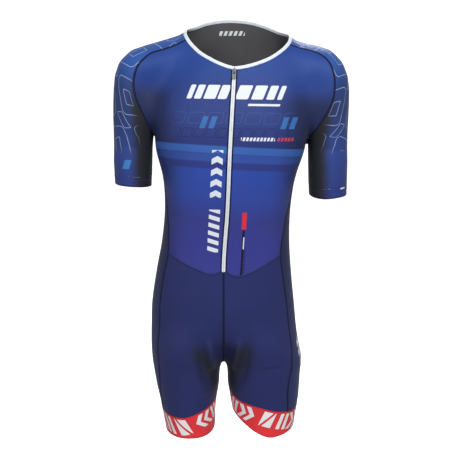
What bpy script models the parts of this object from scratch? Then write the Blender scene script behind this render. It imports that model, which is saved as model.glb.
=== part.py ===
"""Triathlon suit, worn and empty: every cut piece of cloth is a thin curved wall of its own.

The tables and sizes are in millimetres, and the meshes that are made from them are in metres.
+Z is up, the wearer faces -Y, and +X is the wearer's left. The origin is the middle of the neck
opening, level with the points where the shoulders meet it.

How it is made: form() says how far a point is outside the suit's smooth outer shape. The seams are
short tables of places on that shape. Each panel is a grid of points between its four seams, laid on
the shape by rays from a line inside the body, and given a thickness along the shape's own normal.
"""
import math

import bmesh
import bpy
import numpy as np
from mathutils import Matrix

NAME = "triathlon_suit"
MM = 0.001

# Driving sizes
WALL = 1.5
GAP = 0.3
BINDING_WIDTH = 7.0
ZIP_WIDTH = 9.5
CUFF_HEIGHT = 21.0
FLAT_COLUMNS = 9
SIDE_COLUMNS = 6
BACK_COLUMNS = 16
SLEEVE_COLUMNS = 18
RAGLAN_ROWS = 11
TORSO_ROWS = 13
UNDERARM_ROWS = 5
SHORTS_ROWS = 18
BAND_ROWS = 3
CUFF_ROWS = 1


def smooth_column(knots, values, at):
    """Reads a table column between its rows along one smooth curve."""
    order = np.argsort(knots)
    x = knots[order]
    y = values[order]
    step = np.diff(x)
    slope = np.diff(y) / step
    tangent = np.empty_like(y)
    tangent[1:-1] = (slope[:-1] * step[1:] + slope[1:] * step[:-1]) / (step[:-1] + step[1:])
    tangent[0] = slope[0]
    tangent[-1] = slope[-1]
    at = np.clip(at, x[0], x[-1])
    i = np.clip(np.searchsorted(x, at) - 1, 0, len(x) - 2)
    h = step[i]
    t = (at - x[i]) / h
    start = (1 + 2 * t) * (1 - t) ** 2 * y[i] + t * (1 - t) ** 2 * h * tangent[i]
    end = t ** 2 * (3 - 2 * t) * y[i + 1] + t ** 2 * (t - 1) * h * tangent[i + 1]
    return start + end


class Table:
    """A short table with named columns. The first column is what the others are read against."""

    def __init__(self, names, *rows):
        self.names = names.split()
        self.rows = np.array(rows, float)

    def column(self, name):
        return self.rows[:, self.names.index(name)]

    def read(self, name, at):
        return smooth_column(self.rows[:, 0], self.column(name), at)


# Horizontal sections of the outer shape: where each one ends to the wearer's right and left,
# in front and behind
TORSO = Table(
    "height right left front back squareness",
    (40, -92, 76, -44, 66, 2.2),
    (0, -100, 97, -62, 80, 2.2),
    (-35, -110, 108, -78, 93, 2.3),
    (-70, -146, 136, -92, 102, 2.4),
    (-110, -170, 152, -104, 108, 2.5),
    (-160, -181, 155, -116, 111, 2.5),
    (-200, -175, 144.5, -120, 110, 2.7),
    (-239, -171.5, 137.5, -120, 107, 2.5),
    (-290, -159.5, 121.5, -114, 101, 2.4),
    (-356, -155.5, 111.5, -104, 93, 2.35),
    (-435, -162.5, 109.5, -98, 92, 2.35),
    (-502, -175, 114, -100, 104, 2.35),
    (-583, -187, 122.5, -104, 120, 2.3),
    (-640, -189, 128.5, -102, 122, 2.25),
)
LEG_RIGHT = Table(
    "height right left front back squareness",
    (-560, -183, 20, -103, 117, 2.15),
    (-640, -189, -4, -102, 122, 2.15),
    (-680, -189, -22, -97, 115, 2.15),
    (-708, -187, -34, -91, 106, 2.15),
    (-728, -184, -39, -88, 100, 2.15),
    (-764, -178, -42, -84, 90, 2.15),
    (-792, -172, -46, -81, 85, 2.15),
    (-821, -167, -49, -79, 81, 2.15),
    (-849, -162, -50, -77, 78, 2.15),
    (-900, -155, -50, -74, 74, 2.15),
)
LEG_LEFT = Table(
    "height right left front back squareness",
    (-560, -85, 119, -103, 117, 2.15),
    (-640, -58, 128.5, -102, 122, 2.15),
    (-680, -40, 135.5, -97, 115, 2.15),
    (-708, -28, 140.5, -91, 106, 2.15),
    (-728, -23, 138, -88, 100, 2.15),
    (-764, -21, 136, -84, 92, 2.15),
    (-792, -17, 134, -82, 88, 2.15),
    (-821, -12, 130, -80, 85, 2.15),
    (-849, -8, 126, -78, 82, 2.15),
    (-900, -2, 120, -75, 78, 2.15),
)

# The round of each shoulder and arm: centres from the neck to below the cuff, and half widths
ARM_RIGHT = Table(
    "step x y z radius",
    (0, -62, 5, -30, 44),
    (1, -112, 5, -48.5, 45),
    (2, -160, 5, -63, 45),
    (3, -199.5, 5, -73.5, 43.5),
    (4, -213, 4, -91, 43),
    (5, -216, 2, -125, 44),
    (6, -218, 0, -175, 43.5),
    (7, -220.5, 0, -226, 40.5),
    (8, -222, -2, -280, 40),
    (9, -221, -6, -380, 36),
)
ARM_LEFT = Table(
    "step x y z radius",
    (0, 62, 5, -52, 44),
    (1, 100, 5, -58, 45),
    (2, 136, 5, -66.5, 45),
    (3, 166.5, 5, -75, 45.5),
    (4, 180.5, 4, -94, 45.5),
    (5, 185, 2, -125, 45.5),
    (6, 186, 0, -175, 43.5),
    (7, 187.5, 0, -226, 41),
    (8, 189, -2, -280, 41),
    (9, 190, -6, -390, 38.5),
)
ARM_LINKS = 15
ARM_DEPTH = 1.25
HIP_BLEND_TOP = -580.0
HIP_BLEND_LOW = -670.0
CROTCH_BLEND = 20.0
ARM_BLEND = Table(
    "height width",
    (40, 26), (-60, 28), (-110, 30), (-160, 28), (-192, 14), (-212, 8), (-400, 8),
)

# The line inside each sleeve that its points are cast from
SLEEVE_CORE_RIGHT = Table(
    "step x y z",
    (0, -30, 0, -42),
    (1, -112, 0, -68),
    (2, -172, 0, -104),
    (3, -205, 0, -155),
    (4, -218, 0, -215),
    (5, -221, -2, -280),
    (6, -221, -4, -345),
)
SLEEVE_CORE_LEFT = Table(
    "step x y z",
    (0, 20, 0, -52),
    (1, 98, 0, -77),
    (2, 148, 0, -110),
    (3, 176, 0, -158),
    (4, 186, 0, -215),
    (5, 189, -2, -285),
    (6, 190, -4, -360),
)

# Rings: a bearing of 0 degrees is the wearer's left, -90 the front, 90 the back, 180 the right
NECK_AXIS = (-3.0, 5.0)
NECK_RING = Table(
    "bearing radius height",
    (-180, 109, 1), (-165, 110, -8.5), (-152, 109, -20.5), (-140, 103, -35.7), (-128, 99, -45.7),
    (-113, 96, -56.5), (-96, 94, -64.5), (-78, 94, -62), (-64, 97, -56), (-50, 101, -48.3),
    (-34, 105, -37), (-18, 110, -24), (0, 108, -14), (14, 106, -10.5), (28, 103, -4.5), (45, 93, 5.5),
    (60, 84, 12.5), (90, 76, 18), (120, 84, 17.5), (138, 95, 14), (152, 104, 8.5), (165, 107, 4.5),
    (180, 109, 1),
)
BAND_TOP_RIGHT = Table(
    "bearing height",
    (-180, -806), (-143, -813), (-117, -816), (-93, -815), (-75, -807), (-54, -799), (-20, -790),
    (0, -788), (45, -790), (90, -793), (135, -799), (180, -806),
)
BAND_LOW_RIGHT = Table(
    "bearing height",
    (-180, -861), (-140, -864), (-93, -865), (-50, -864), (-6, -859), (45, -853), (90, -852),
    (135, -856), (180, -861),
)
BAND_TOP_LEFT = Table(
    "bearing height",
    (-180, -773), (-156, -774), (-133, -782), (-112, -787), (-93, -793), (-76, -800), (-57, -806),
    (-35, -811), (0, -808), (45, -798), (90, -788), (135, -779), (180, -773),
)
BAND_LOW_LEFT = Table(
    "bearing height",
    (-180, -820), (-151, -823), (-124, -836), (-104, -851), (-84, -862), (-64, -861), (-40, -858),
    (0, -853), (45, -845), (90, -835), (135, -826), (180, -820),
)
CUFF_LOW_RIGHT = Table(
    "bearing height",
    (-180, -311), (-150, -311.5), (-100, -311.5), (-40, -316), (0, -318), (60, -312), (120, -306),
    (180, -311),
)
CUFF_LOW_LEFT = Table(
    "bearing height",
    (-180, -336), (-158, -337), (-100, -338), (-70, -336), (-38, -336), (0, -337), (60, -332),
    (120, -331), (180, -336),
)

# Seams seen from the front or from behind, as places across and heights
RAGLAN_FRONT_RIGHT = Table(
    "x z",
    (-136, -24), (-158, -31), (-176, -36), (-194, -49), (-205, -62), (-211, -77), (-214, -95),
    (-213, -112), (-208, -131), (-199, -152), (-189, -175), (-181, -200),
)
RAGLAN_FRONT_LEFT = Table(
    "x z",
    (123, -27), (141, -31), (158, -36), (173, -44), (185, -57), (192, -74), (195, -94), (194, -118),
    (188, -141), (175, -166), (161, -190), (150, -208),
)
RAGLAN_BACK_RIGHT = Table(
    "x z",
    (-112, -12), (-135, -20), (-158, -31), (-178, -45), (-193, -64), (-201, -88), (-204, -115),
    (-202, -140), (-196, -165), (-188, -188), (-182, -203),
)
RAGLAN_BACK_LEFT = Table(
    "x z",
    (108, -21), (125, -29), (143, -38), (160, -50), (173, -66), (180, -88), (182, -112), (179, -140),
    (170, -165), (158, -190), (151, -206),
)
RAGLAN_SEAMS = {
    "right": (RAGLAN_FRONT_RIGHT, RAGLAN_BACK_RIGHT),
    "left": (RAGLAN_FRONT_LEFT, RAGLAN_BACK_LEFT),
}
RAGLAN_BEARINGS = {"right": (-160, 150), "left": (-18, 30)}
ZIP_LINE = Table("z x", (-40, -8), (-66, -9.3), (-202, -17), (-348, -23), (-482, -31), (-500, -31))
ZIP_END = -481.5
ZIP_SPLIT = -232.0
WAIST_RIGHT = Table("x z", (-122, -464), (-90, -477), (-57, -487.5), (-44, -485.5))
WAIST_LEFT = Table("x z", (58, -470), (27, -485), (2, -492), (-16, -488.5))
WAISTS = {"right": WAIST_RIGHT, "left": WAIST_LEFT}
WAIST_BACK = -440.0
WAIST_BACK_MIDDLE = -443.0
CENTRE_SEAM = -31.0
CROTCH_TURN = -690.0
CROTCH_Y = 4.0
CROTCH_ROWS = 13
ARMPIT_X = {"right": -177.5, "left": 146.5}
ARMPIT_FRONT = -14.0
ARMPIT_BACK = 18.0
ARMPIT_CLEAR = 12.0
ARMPIT_CROWDING = 1.35
SIDE_SEAMS = Table(
    "height right left back",
    (-232, -17, -17, 22), (-270, -24, -25, 31), (-330, -38, -40, 43), (-392, -51, -54, 52),
    (-452, -58, -62, 58), (-520, -55, -57, 62), (-590, -56, -52, 65), (-640, -58, -55, 65),
    (-700, -60, -66, 62), (-760, -46, -67, 57),
)
WAIST_CORNERS = {"right": -452.0, "left": -457.0}
WAIST_CORNER_BACK = -448.0
BAND_CORNERS = {"right": (-148, 128), "left": (-52, 50)}
INSEAM_BEARINGS = {"right": 2.0, "left": 178.0}
BAND_RINGS = {
    "right": (BAND_TOP_RIGHT, BAND_LOW_RIGHT),
    "left": (BAND_TOP_LEFT, BAND_LOW_LEFT),
}
CUFF_RINGS = {"right": CUFF_LOW_RIGHT, "left": CUFF_LOW_LEFT}
SLEEVE_CORES = {"right": SLEEVE_CORE_RIGHT, "left": SLEEVE_CORE_LEFT}
TORSO_CORE_FRONT = (-15.0, 25.0)
TORSO_CORE_BACK = (-15.0, -25.0)
SHORTS_CORES = {"right": (-100.0, 0.0), "left": (52.0, 0.0)}
SHORTS_FACING = {"right": -70.0, "left": -110.0}
LEG_AXES = {"right": (-108.0, 0.0), "left": (58.0, 2.0)}
ARM_AXES = {"right": (-221.0, -3.0), "left": (189.0, -3.0)}

# Sections of the binding and of the zip: how far up or across, and how far outside the shape
BINDING_SECTION = Table(
    "rise height",
    (0.15, 0.5), (3, 0.8), (5.8, 0.6), (7.0, -0.4), (5.8, -2.0), (3, -2.1), (0.15, -2.1),
)
BINDING_SLIT = 0.6
ZIP_SECTION = Table(
    "across height",
    (-4.75, 0), (-2.1, 0), (-1.5, 1.0), (1.5, 1.0), (2.1, 0), (4.75, 0),
)

# Zip slider and its pull tab, in their own directions: across, up and out of the zip
SLIDER_DROP = 3.5
SLIDER_PLATE = (7.6, 10.0, 2.2)
SLIDER_CORNER = 1.6
SLIDER_BEVEL = 0.4
SLIDER_LIFT = 1.4
BRIDGE_WIDTH = 2.0
BRIDGE_BAR = 1.2
BRIDGE_ROOM = 0.4
BRIDGE_REACH = 1.65
PULL_PIVOT = 5.1
PULL_WIDTH = 8.0
PULL_LENGTH = 17.0
PULL_THICKNESS = 1.4
PULL_CORNER = 2.2
PULL_BEVEL = 0.3
PULL_EYE = (3.4, 6.4)
EYE_CORNER = 0.8
PULL_TOP_BAR = 1.5

# Colours, roughness and metallic value of each finish
FINISHES = {
    "blue_cloth": ((0.035, 0.085, 0.34), 0.42, 0.0),
    "navy_cloth": ((0.023, 0.033, 0.13), 0.45, 0.0),
    "red_band": ((0.80, 0.035, 0.045), 0.45, 0.0),
    "white_trim": ((0.78, 0.82, 0.86), 0.5, 0.0),
    "zip_metal": ((0.30, 0.31, 0.33), 0.35, 0.8),
}


def soft_min(a, b, width):
    near = np.maximum(width - np.abs(a - b), 0) / width
    return np.minimum(a, b) - near ** 2 * width / 4


def column_gap(table, points):
    """How far points are outside a column of rounded-square sections."""
    z = points[..., 2]
    right = table.read("right", z)
    left = table.read("left", z)
    front = table.read("front", z)
    back = table.read("back", z)
    squareness = table.read("squareness", z)
    x = points[..., 0] - (right + left) / 2
    y = points[..., 1] - (front + back) / 2
    across = np.abs(x / ((left - right) / 2)) ** squareness
    through = np.abs(y / ((back - front) / 2)) ** squareness
    reach = (across + through) ** (1 / squareness)
    return np.hypot(x, y) * (1 - 1 / np.maximum(reach, 1e-6))


def arm_links(table):
    """The arm's centres and half widths at evenly spaced steps of its table."""
    steps = np.linspace(0, table.rows[-1, 0], ARM_LINKS + 1)
    return np.stack([table.read(name, steps) for name in ("x", "y", "z", "radius")], 1)


def arm_gap(links, points):
    """How far points are outside a chain of round links that is deeper than it is wide."""
    scale = np.array([1, 1 / ARM_DEPTH, 1])
    points = points * scale
    gap = np.full(points.shape[:-1], 1e3)
    for start, end in zip(links[:-1], links[1:]):
        centre = start[:3] * scale
        along = (end[:3] - start[:3]) * scale
        t = np.clip(((points - centre) @ along) / (along @ along), 0, 1)
        off = np.linalg.norm(points - centre - t[..., None] * along, axis=-1)
        gap = np.minimum(gap, off - start[3] - t * (end[3] - start[3]))
    return gap


ARMS = (arm_links(ARM_RIGHT), arm_links(ARM_LEFT))


def form(points):
    """How far points are outside the suit's outer shape. It is negative inside."""
    points = np.asarray(points, float)
    torso = column_gap(TORSO, points)
    right = column_gap(LEG_RIGHT, points)
    left = column_gap(LEG_LEFT, points)
    legs = soft_min(right, left, CROTCH_BLEND)
    share = (HIP_BLEND_TOP - points[..., 2]) / (HIP_BLEND_TOP - HIP_BLEND_LOW)
    share = np.clip(share, 0, 1)
    share = share * share * (3 - 2 * share)
    body = torso * (1 - share) + legs * share
    arms = np.minimum(arm_gap(ARMS[0], points), arm_gap(ARMS[1], points))
    return soft_min(body, arms, ARM_BLEND.read("width", points[..., 2]))


def normals(points):
    """The outward direction of the shape at points on it."""
    step = 0.5
    shifts = np.eye(3) * step
    slope = np.stack([form(points + s) - form(points - s) for s in shifts], -1)
    return slope / np.linalg.norm(slope, axis=-1, keepdims=True)


def settle(points, rounds=5):
    """Moves points that are near the shape onto it."""
    step = 0.5
    for _ in range(rounds):
        slope = np.stack([form(points + s) - form(points - s) for s in np.eye(3) * step], -1)
        slope = slope / (2 * step)
        pull = form(points) / np.maximum((slope ** 2).sum(-1), 0.2)
        points = points - slope * pull[..., None]
    return points


def cast(start, way, reach=430.0):
    """Where rays first cross the shape, from outside or from inside.

    Each ray goes forward by a safe share of its distance from the shape, then halves the last step.
    """
    start, way = np.broadcast_arrays(np.asarray(start, float), np.asarray(way, float))
    way = way / np.linalg.norm(way, axis=-1, keepdims=True)
    gap = form(start)
    inside = gap < 0
    low = np.zeros(inside.shape)
    high = np.full(inside.shape, reach)
    found = np.zeros(inside.shape, bool)
    for _ in range(70):
        ahead = low + np.maximum(np.abs(gap) * 0.55, 0.35)
        gap = form(start + way * ahead[..., None])
        crossed = ((gap < 0) != inside) & ~found
        high = np.where(crossed, ahead, high)
        found |= crossed
        low = np.where(found, low, np.minimum(ahead, reach))
        if found.all():
            break
    for _ in range(16):
        middle = (low + high) / 2
        before = (form(start + way * middle[..., None]) < 0) == inside
        low = np.where(before, middle, low)
        high = np.where(before, high, middle)
    return start + way * ((low + high) / 2)[..., None]


def columns(*parts):
    """Stacks coordinates into points, repeating those that are single numbers."""
    return np.stack(np.broadcast_arrays(*[np.asarray(part, float) for part in parts]), -1)


def front_points(x, z):
    return cast(columns(x, -240, z), (0, 1, 0))


def back_points(x, z):
    return cast(columns(x, 240, z), (0, -1, 0))


def side_points(core_x, y, z, side):
    way = -1 if side == "right" else 1
    return cast(columns(core_x, y, z), (way, 0, 0))


def under_points(x, y, z):
    """Points on the roof over a gap, cast upwards from inside the gap."""
    return cast(columns(x, y, z), (0, 0, 1), reach=200.0)


def ring_points(ring, axis, bearings):
    angle = np.radians(bearings)
    start = columns(axis[0], axis[1], ring.read("height", bearings))
    return cast(start, columns(np.cos(angle), np.sin(angle), 0))


def neck_points(bearings):
    bearings = np.asarray(bearings, float)
    angle = np.radians(bearings)
    radius = NECK_RING.read("radius", bearings)
    x = NECK_AXIS[0] + radius * np.cos(angle)
    y = NECK_AXIS[1] + radius * np.sin(angle)
    return settle(columns(x, y, NECK_RING.read("height", bearings)))


def smooth_line(points, count=80):
    """A smooth line through a few points, as many."""
    points = np.asarray(points, float)
    knots = np.append(0, np.cumsum(np.linalg.norm(np.diff(points, axis=0), axis=1)))
    at = np.linspace(0, knots[-1], count)
    return np.stack([smooth_column(knots, column, at) for column in points.T], 1)


def spaced(points, segments, crowding=1.0):
    """The same line with evenly spaced points, or with points that crowd towards its start."""
    knots = np.append(0, np.cumsum(np.linalg.norm(np.diff(points, axis=0), axis=1)))
    at = knots[-1] * np.linspace(0, 1, segments + 1) ** crowding
    return np.stack([np.interp(at, knots, column) for column in points.T], 1)


def seam(points, segments, crowding=1.0):
    """Spaced seam points that lie on the shape and keep both ends."""
    line = settle(spaced(points, segments, crowding))
    line[0] = points[0]
    line[-1] = points[-1]
    return line


def join(*lines):
    """Lines end to end, with each shared end kept once."""
    return np.concatenate([lines[0]] + [line[1:] for line in lines[1:]])


def front_line(start, table, end=None):
    """A seam line on the front from a point through a table's places, and on to another point."""
    ends = [] if end is None else [(end[0], end[2])]
    path = smooth_line([(start[0], start[2])] + list(table.rows) + ends)
    line = front_points(path[:, 0], path[:, 1])
    line[0] = start
    return line


def back_line(start, table):
    path = smooth_line([(start[0], start[2])] + list(table.rows))
    line = back_points(path[:, 0], path[:, 1])
    line[0] = start
    return line


class RayChart:
    """Bearing and height round an upright line inside the body."""

    def __init__(self, axis, facing):
        self.axis = axis
        self.facing = facing

    def read(self, points):
        angle = np.degrees(np.arctan2(points[..., 1] - self.axis[1], points[..., 0] - self.axis[0]))
        turn = (angle - self.facing + 180) % 360 - 180
        return np.stack([turn, points[..., 2]], -1)

    def place(self, chart):
        angle = np.radians(chart[..., 0] + self.facing)
        start = columns(self.axis[0], self.axis[1], chart[..., 1])
        return cast(start, columns(np.cos(angle), np.sin(angle), 0))


class SleeveChart:
    """Turn and step round the bent line inside a sleeve. A turn of 0 is the shoulder's outside."""

    def __init__(self, table, side):
        self.table = table
        self.last = table.rows[-1, 0]
        self.sign = 1 if side == "left" else -1

    def frame(self, step):
        step = np.clip(step, 0.05, self.last - 0.05)
        centre = columns(*[self.table.read(name, step) for name in ("x", "y", "z")])
        ahead = columns(*[self.table.read(name, step + 0.05) for name in ("x", "y", "z")])
        behind = columns(*[self.table.read(name, step - 0.05) for name in ("x", "y", "z")])
        along = (ahead - behind) * (1, 0, 1)
        along = along / np.linalg.norm(along, axis=-1, keepdims=True)
        outer = columns(-along[..., 2], 0, along[..., 0]) * self.sign
        return centre, along, outer

    def read(self, points):
        low = np.zeros(points.shape[:-1])
        high = np.full(points.shape[:-1], self.last)
        for _ in range(30):
            middle = (low + high) / 2
            centre, along, _ = self.frame(middle)
            beyond = ((points - centre) * along).sum(-1) > 0
            low = np.where(beyond, middle, low)
            high = np.where(beyond, high, middle)
        centre, _, outer = self.frame(low)
        off = points - centre
        turn = np.degrees(np.arctan2(-off[..., 1], (off * outer).sum(-1)))
        return np.stack([turn, low], -1)

    def place(self, chart):
        centre, _, outer = self.frame(chart[..., 1])
        angle = np.radians(chart[..., 0])[..., None]
        return cast(centre, outer * np.cos(angle) + np.array([0, -1, 0]) * np.sin(angle))


def relax(grid, rounds=12):
    """Evens out the spacing inside a grid whose edges stay."""
    grid = grid.copy()
    for _ in range(rounds):
        middle = grid[:-2, 1:-1] + grid[2:, 1:-1] + grid[1:-1, :-2] + grid[1:-1, 2:]
        grid[1:-1, 1:-1] = settle(middle / 4, 2)
    return grid


def patch(chart, top, bottom, first, last, fix=None):
    """A grid of points on the shape between four seams. Rows run from top to bottom."""
    edges = [chart.read(line) for line in (top, bottom, first, last)]
    if fix is not None:
        edges = fix(*edges)
    t, b, f, l = edges
    u = np.linspace(0, 1, len(t))[None, :, None]
    v = np.linspace(0, 1, len(f))[:, None, None]
    flat = (1 - v) * t[None] + v * b[None] + (1 - u) * f[:, None] + u * l[:, None]
    flat -= (1 - u) * (1 - v) * t[0] + u * (1 - v) * t[-1] + (1 - u) * v * b[0] + u * v * b[-1]
    grid = chart.place(flat)
    grid[0] = top
    grid[-1] = bottom
    grid[:, 0] = first
    grid[:, -1] = last
    return grid


def edge_gap(edge, inner, out):
    """Half of the seam gap along the shape, from an edge towards the next line of its grid."""
    along = np.gradient(edge, axis=0)
    along /= np.linalg.norm(along, axis=1, keepdims=True)
    way = inner - edge
    way -= (way * out).sum(1, keepdims=True) * out
    way -= (way * along).sum(1, keepdims=True) * along
    return GAP / 2 * way / np.linalg.norm(way, axis=1, keepdims=True)


def inset(grid, out, closed=False):
    """The grid with half of the seam gap taken off each edge."""
    moves = np.zeros_like(grid)
    moves[0] += edge_gap(grid[0], grid[1], out[0])
    moves[-1] += edge_gap(grid[-1], grid[-2], out[-1])
    if not closed:
        moves[:, 0] += edge_gap(grid[:, 0], grid[:, 1], out[:, 0])
        moves[:, -1] += edge_gap(grid[:, -1], grid[:, -2], out[:, -1])
    return grid + moves


def solid_grid(rows, closed_rows, closed_columns):
    """Faces of a grid of points, wrapped round where it is closed."""
    count, width = rows.shape
    faces = []
    for i in range(count if closed_rows else count - 1):
        for j in range(width if closed_columns else width - 1):
            k = (i + 1) % count
            m = (j + 1) % width
            faces.append((rows[i, j], rows[i, m], rows[k, m], rows[k, j]))
    return faces


def add_object(name, points, faces, finish, collection):
    """One named object from points in millimetres, with its faces turned outwards."""
    mesh = bpy.data.meshes.new(name)
    mesh.from_pydata([tuple(point) for point in points * MM], [], faces)
    work = bmesh.new()
    work.from_mesh(mesh)
    bmesh.ops.recalc_face_normals(work, faces=work.faces)
    if work.calc_volume(signed=True) < 0:
        bmesh.ops.reverse_faces(work, faces=work.faces)
    work.to_mesh(mesh)
    work.free()
    mesh.shade_smooth()
    mesh.set_sharp_from_angle(angle=math.radians(40))
    piece = bpy.data.objects.new(name, mesh)
    piece.data.materials.append(finish_material(finish))
    collection.objects.link(piece)
    return piece


def wall(name, grid, finish, collection, closed=False):
    """A cloth wall: the grid outside, the same grid one thickness further in, and the rims."""
    out = normals(grid)
    outer = inset(grid, out, closed)
    inner = outer - out * WALL
    count, width = grid.shape[:2]
    index = np.arange(count * width).reshape(count, width)
    below = index + count * width
    faces = solid_grid(index, False, closed)
    faces += [face[::-1] for face in solid_grid(below, False, closed)]
    if closed:
        faces += solid_grid(np.stack([below[0], index[0]]), False, True)
        faces += solid_grid(np.stack([index[-1], below[-1]]), False, True)
    else:
        rim = np.concatenate([index[0, :-1], index[:-1, -1], index[-1, :0:-1], index[:0:-1, 0]])
        faces += solid_grid(np.stack([rim + count * width, rim]), False, True)
    points = np.concatenate([outer.reshape(-1, 3), inner.reshape(-1, 3)])
    return add_object(name, points, faces, finish, collection)


def finish_material(name):
    """The finish's Principled material, made the first time it is asked for."""
    material = bpy.data.materials.get(name)
    if material is None:
        colour, roughness, metallic = FINISHES[name]
        material = bpy.data.materials.new(name)
        material.use_nodes = True
        shader = material.node_tree.nodes["Principled BSDF"]
        shader.inputs["Base Color"].default_value = (*colour, 1)
        shader.inputs["Roughness"].default_value = roughness
        shader.inputs["Metallic"].default_value = metallic
    return material


def turns(start, end, count=60):
    """Bearings from one to another, as numbers from -180 to 180."""
    return (np.linspace(start, end, count) + 180) % 360 - 180


def zip_line(across=0.0):
    """Points down the zip, or down a line beside it."""
    z = np.linspace(NECK_RING.read("height", -95.0), ZIP_END, 90)
    return front_points(ZIP_LINE.read("x", z) + across, z)


def side_seam(side, face, top, low):
    """One long seam of a side panel, in its torso part and its shorts part."""
    column = "back" if face == "back" else side
    middle = WAIST_CORNER_BACK if face == "back" else WAIST_CORNERS[side]
    places = list(zip(SIDE_SEAMS.column(column), SIDE_SEAMS.column("height")))
    path = smooth_line([(top[1], top[2])] + places + [(low[1], low[2])], 200)
    path = path[path[:, 1] < top[2] - ARMPIT_CLEAR]
    line = side_points(LEG_AXES[side][0], path[:, 0], path[:, 1], side)
    line = np.concatenate([top[None], line[:-1], low[None]])
    split = np.argmin(np.abs(line[:, 2] - middle))
    torso = seam(line[:split + 1], TORSO_ROWS, ARMPIT_CROWDING)
    return torso, seam(line[split:], SHORTS_ROWS)


def centre_seam(start, face, foot, side):
    """The seam from the waist under the crotch, then down one inner leg to its band."""
    heights = np.linspace(start[2], CROTCH_TURN, 60)
    line = front_points(CENTRE_SEAM, heights) if face == "front" else back_points(CENTRE_SEAM, heights)
    line[0] = start
    under = under_points(CENTRE_SEAM, np.linspace(line[-1][1], CROTCH_Y, 24), -790)
    height = np.linspace(under[-1][2], foot[2], 40)
    depth = np.linspace(CROTCH_Y, foot[1], 40)
    inner = side_points(LEG_AXES[side][0], depth, height, "left" if side == "right" else "right")
    inner[0] = under[-1]
    inner[-1] = foot
    return join(seam(join(line, under), CROTCH_ROWS), seam(inner, SHORTS_ROWS - CROTCH_ROWS))


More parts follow.
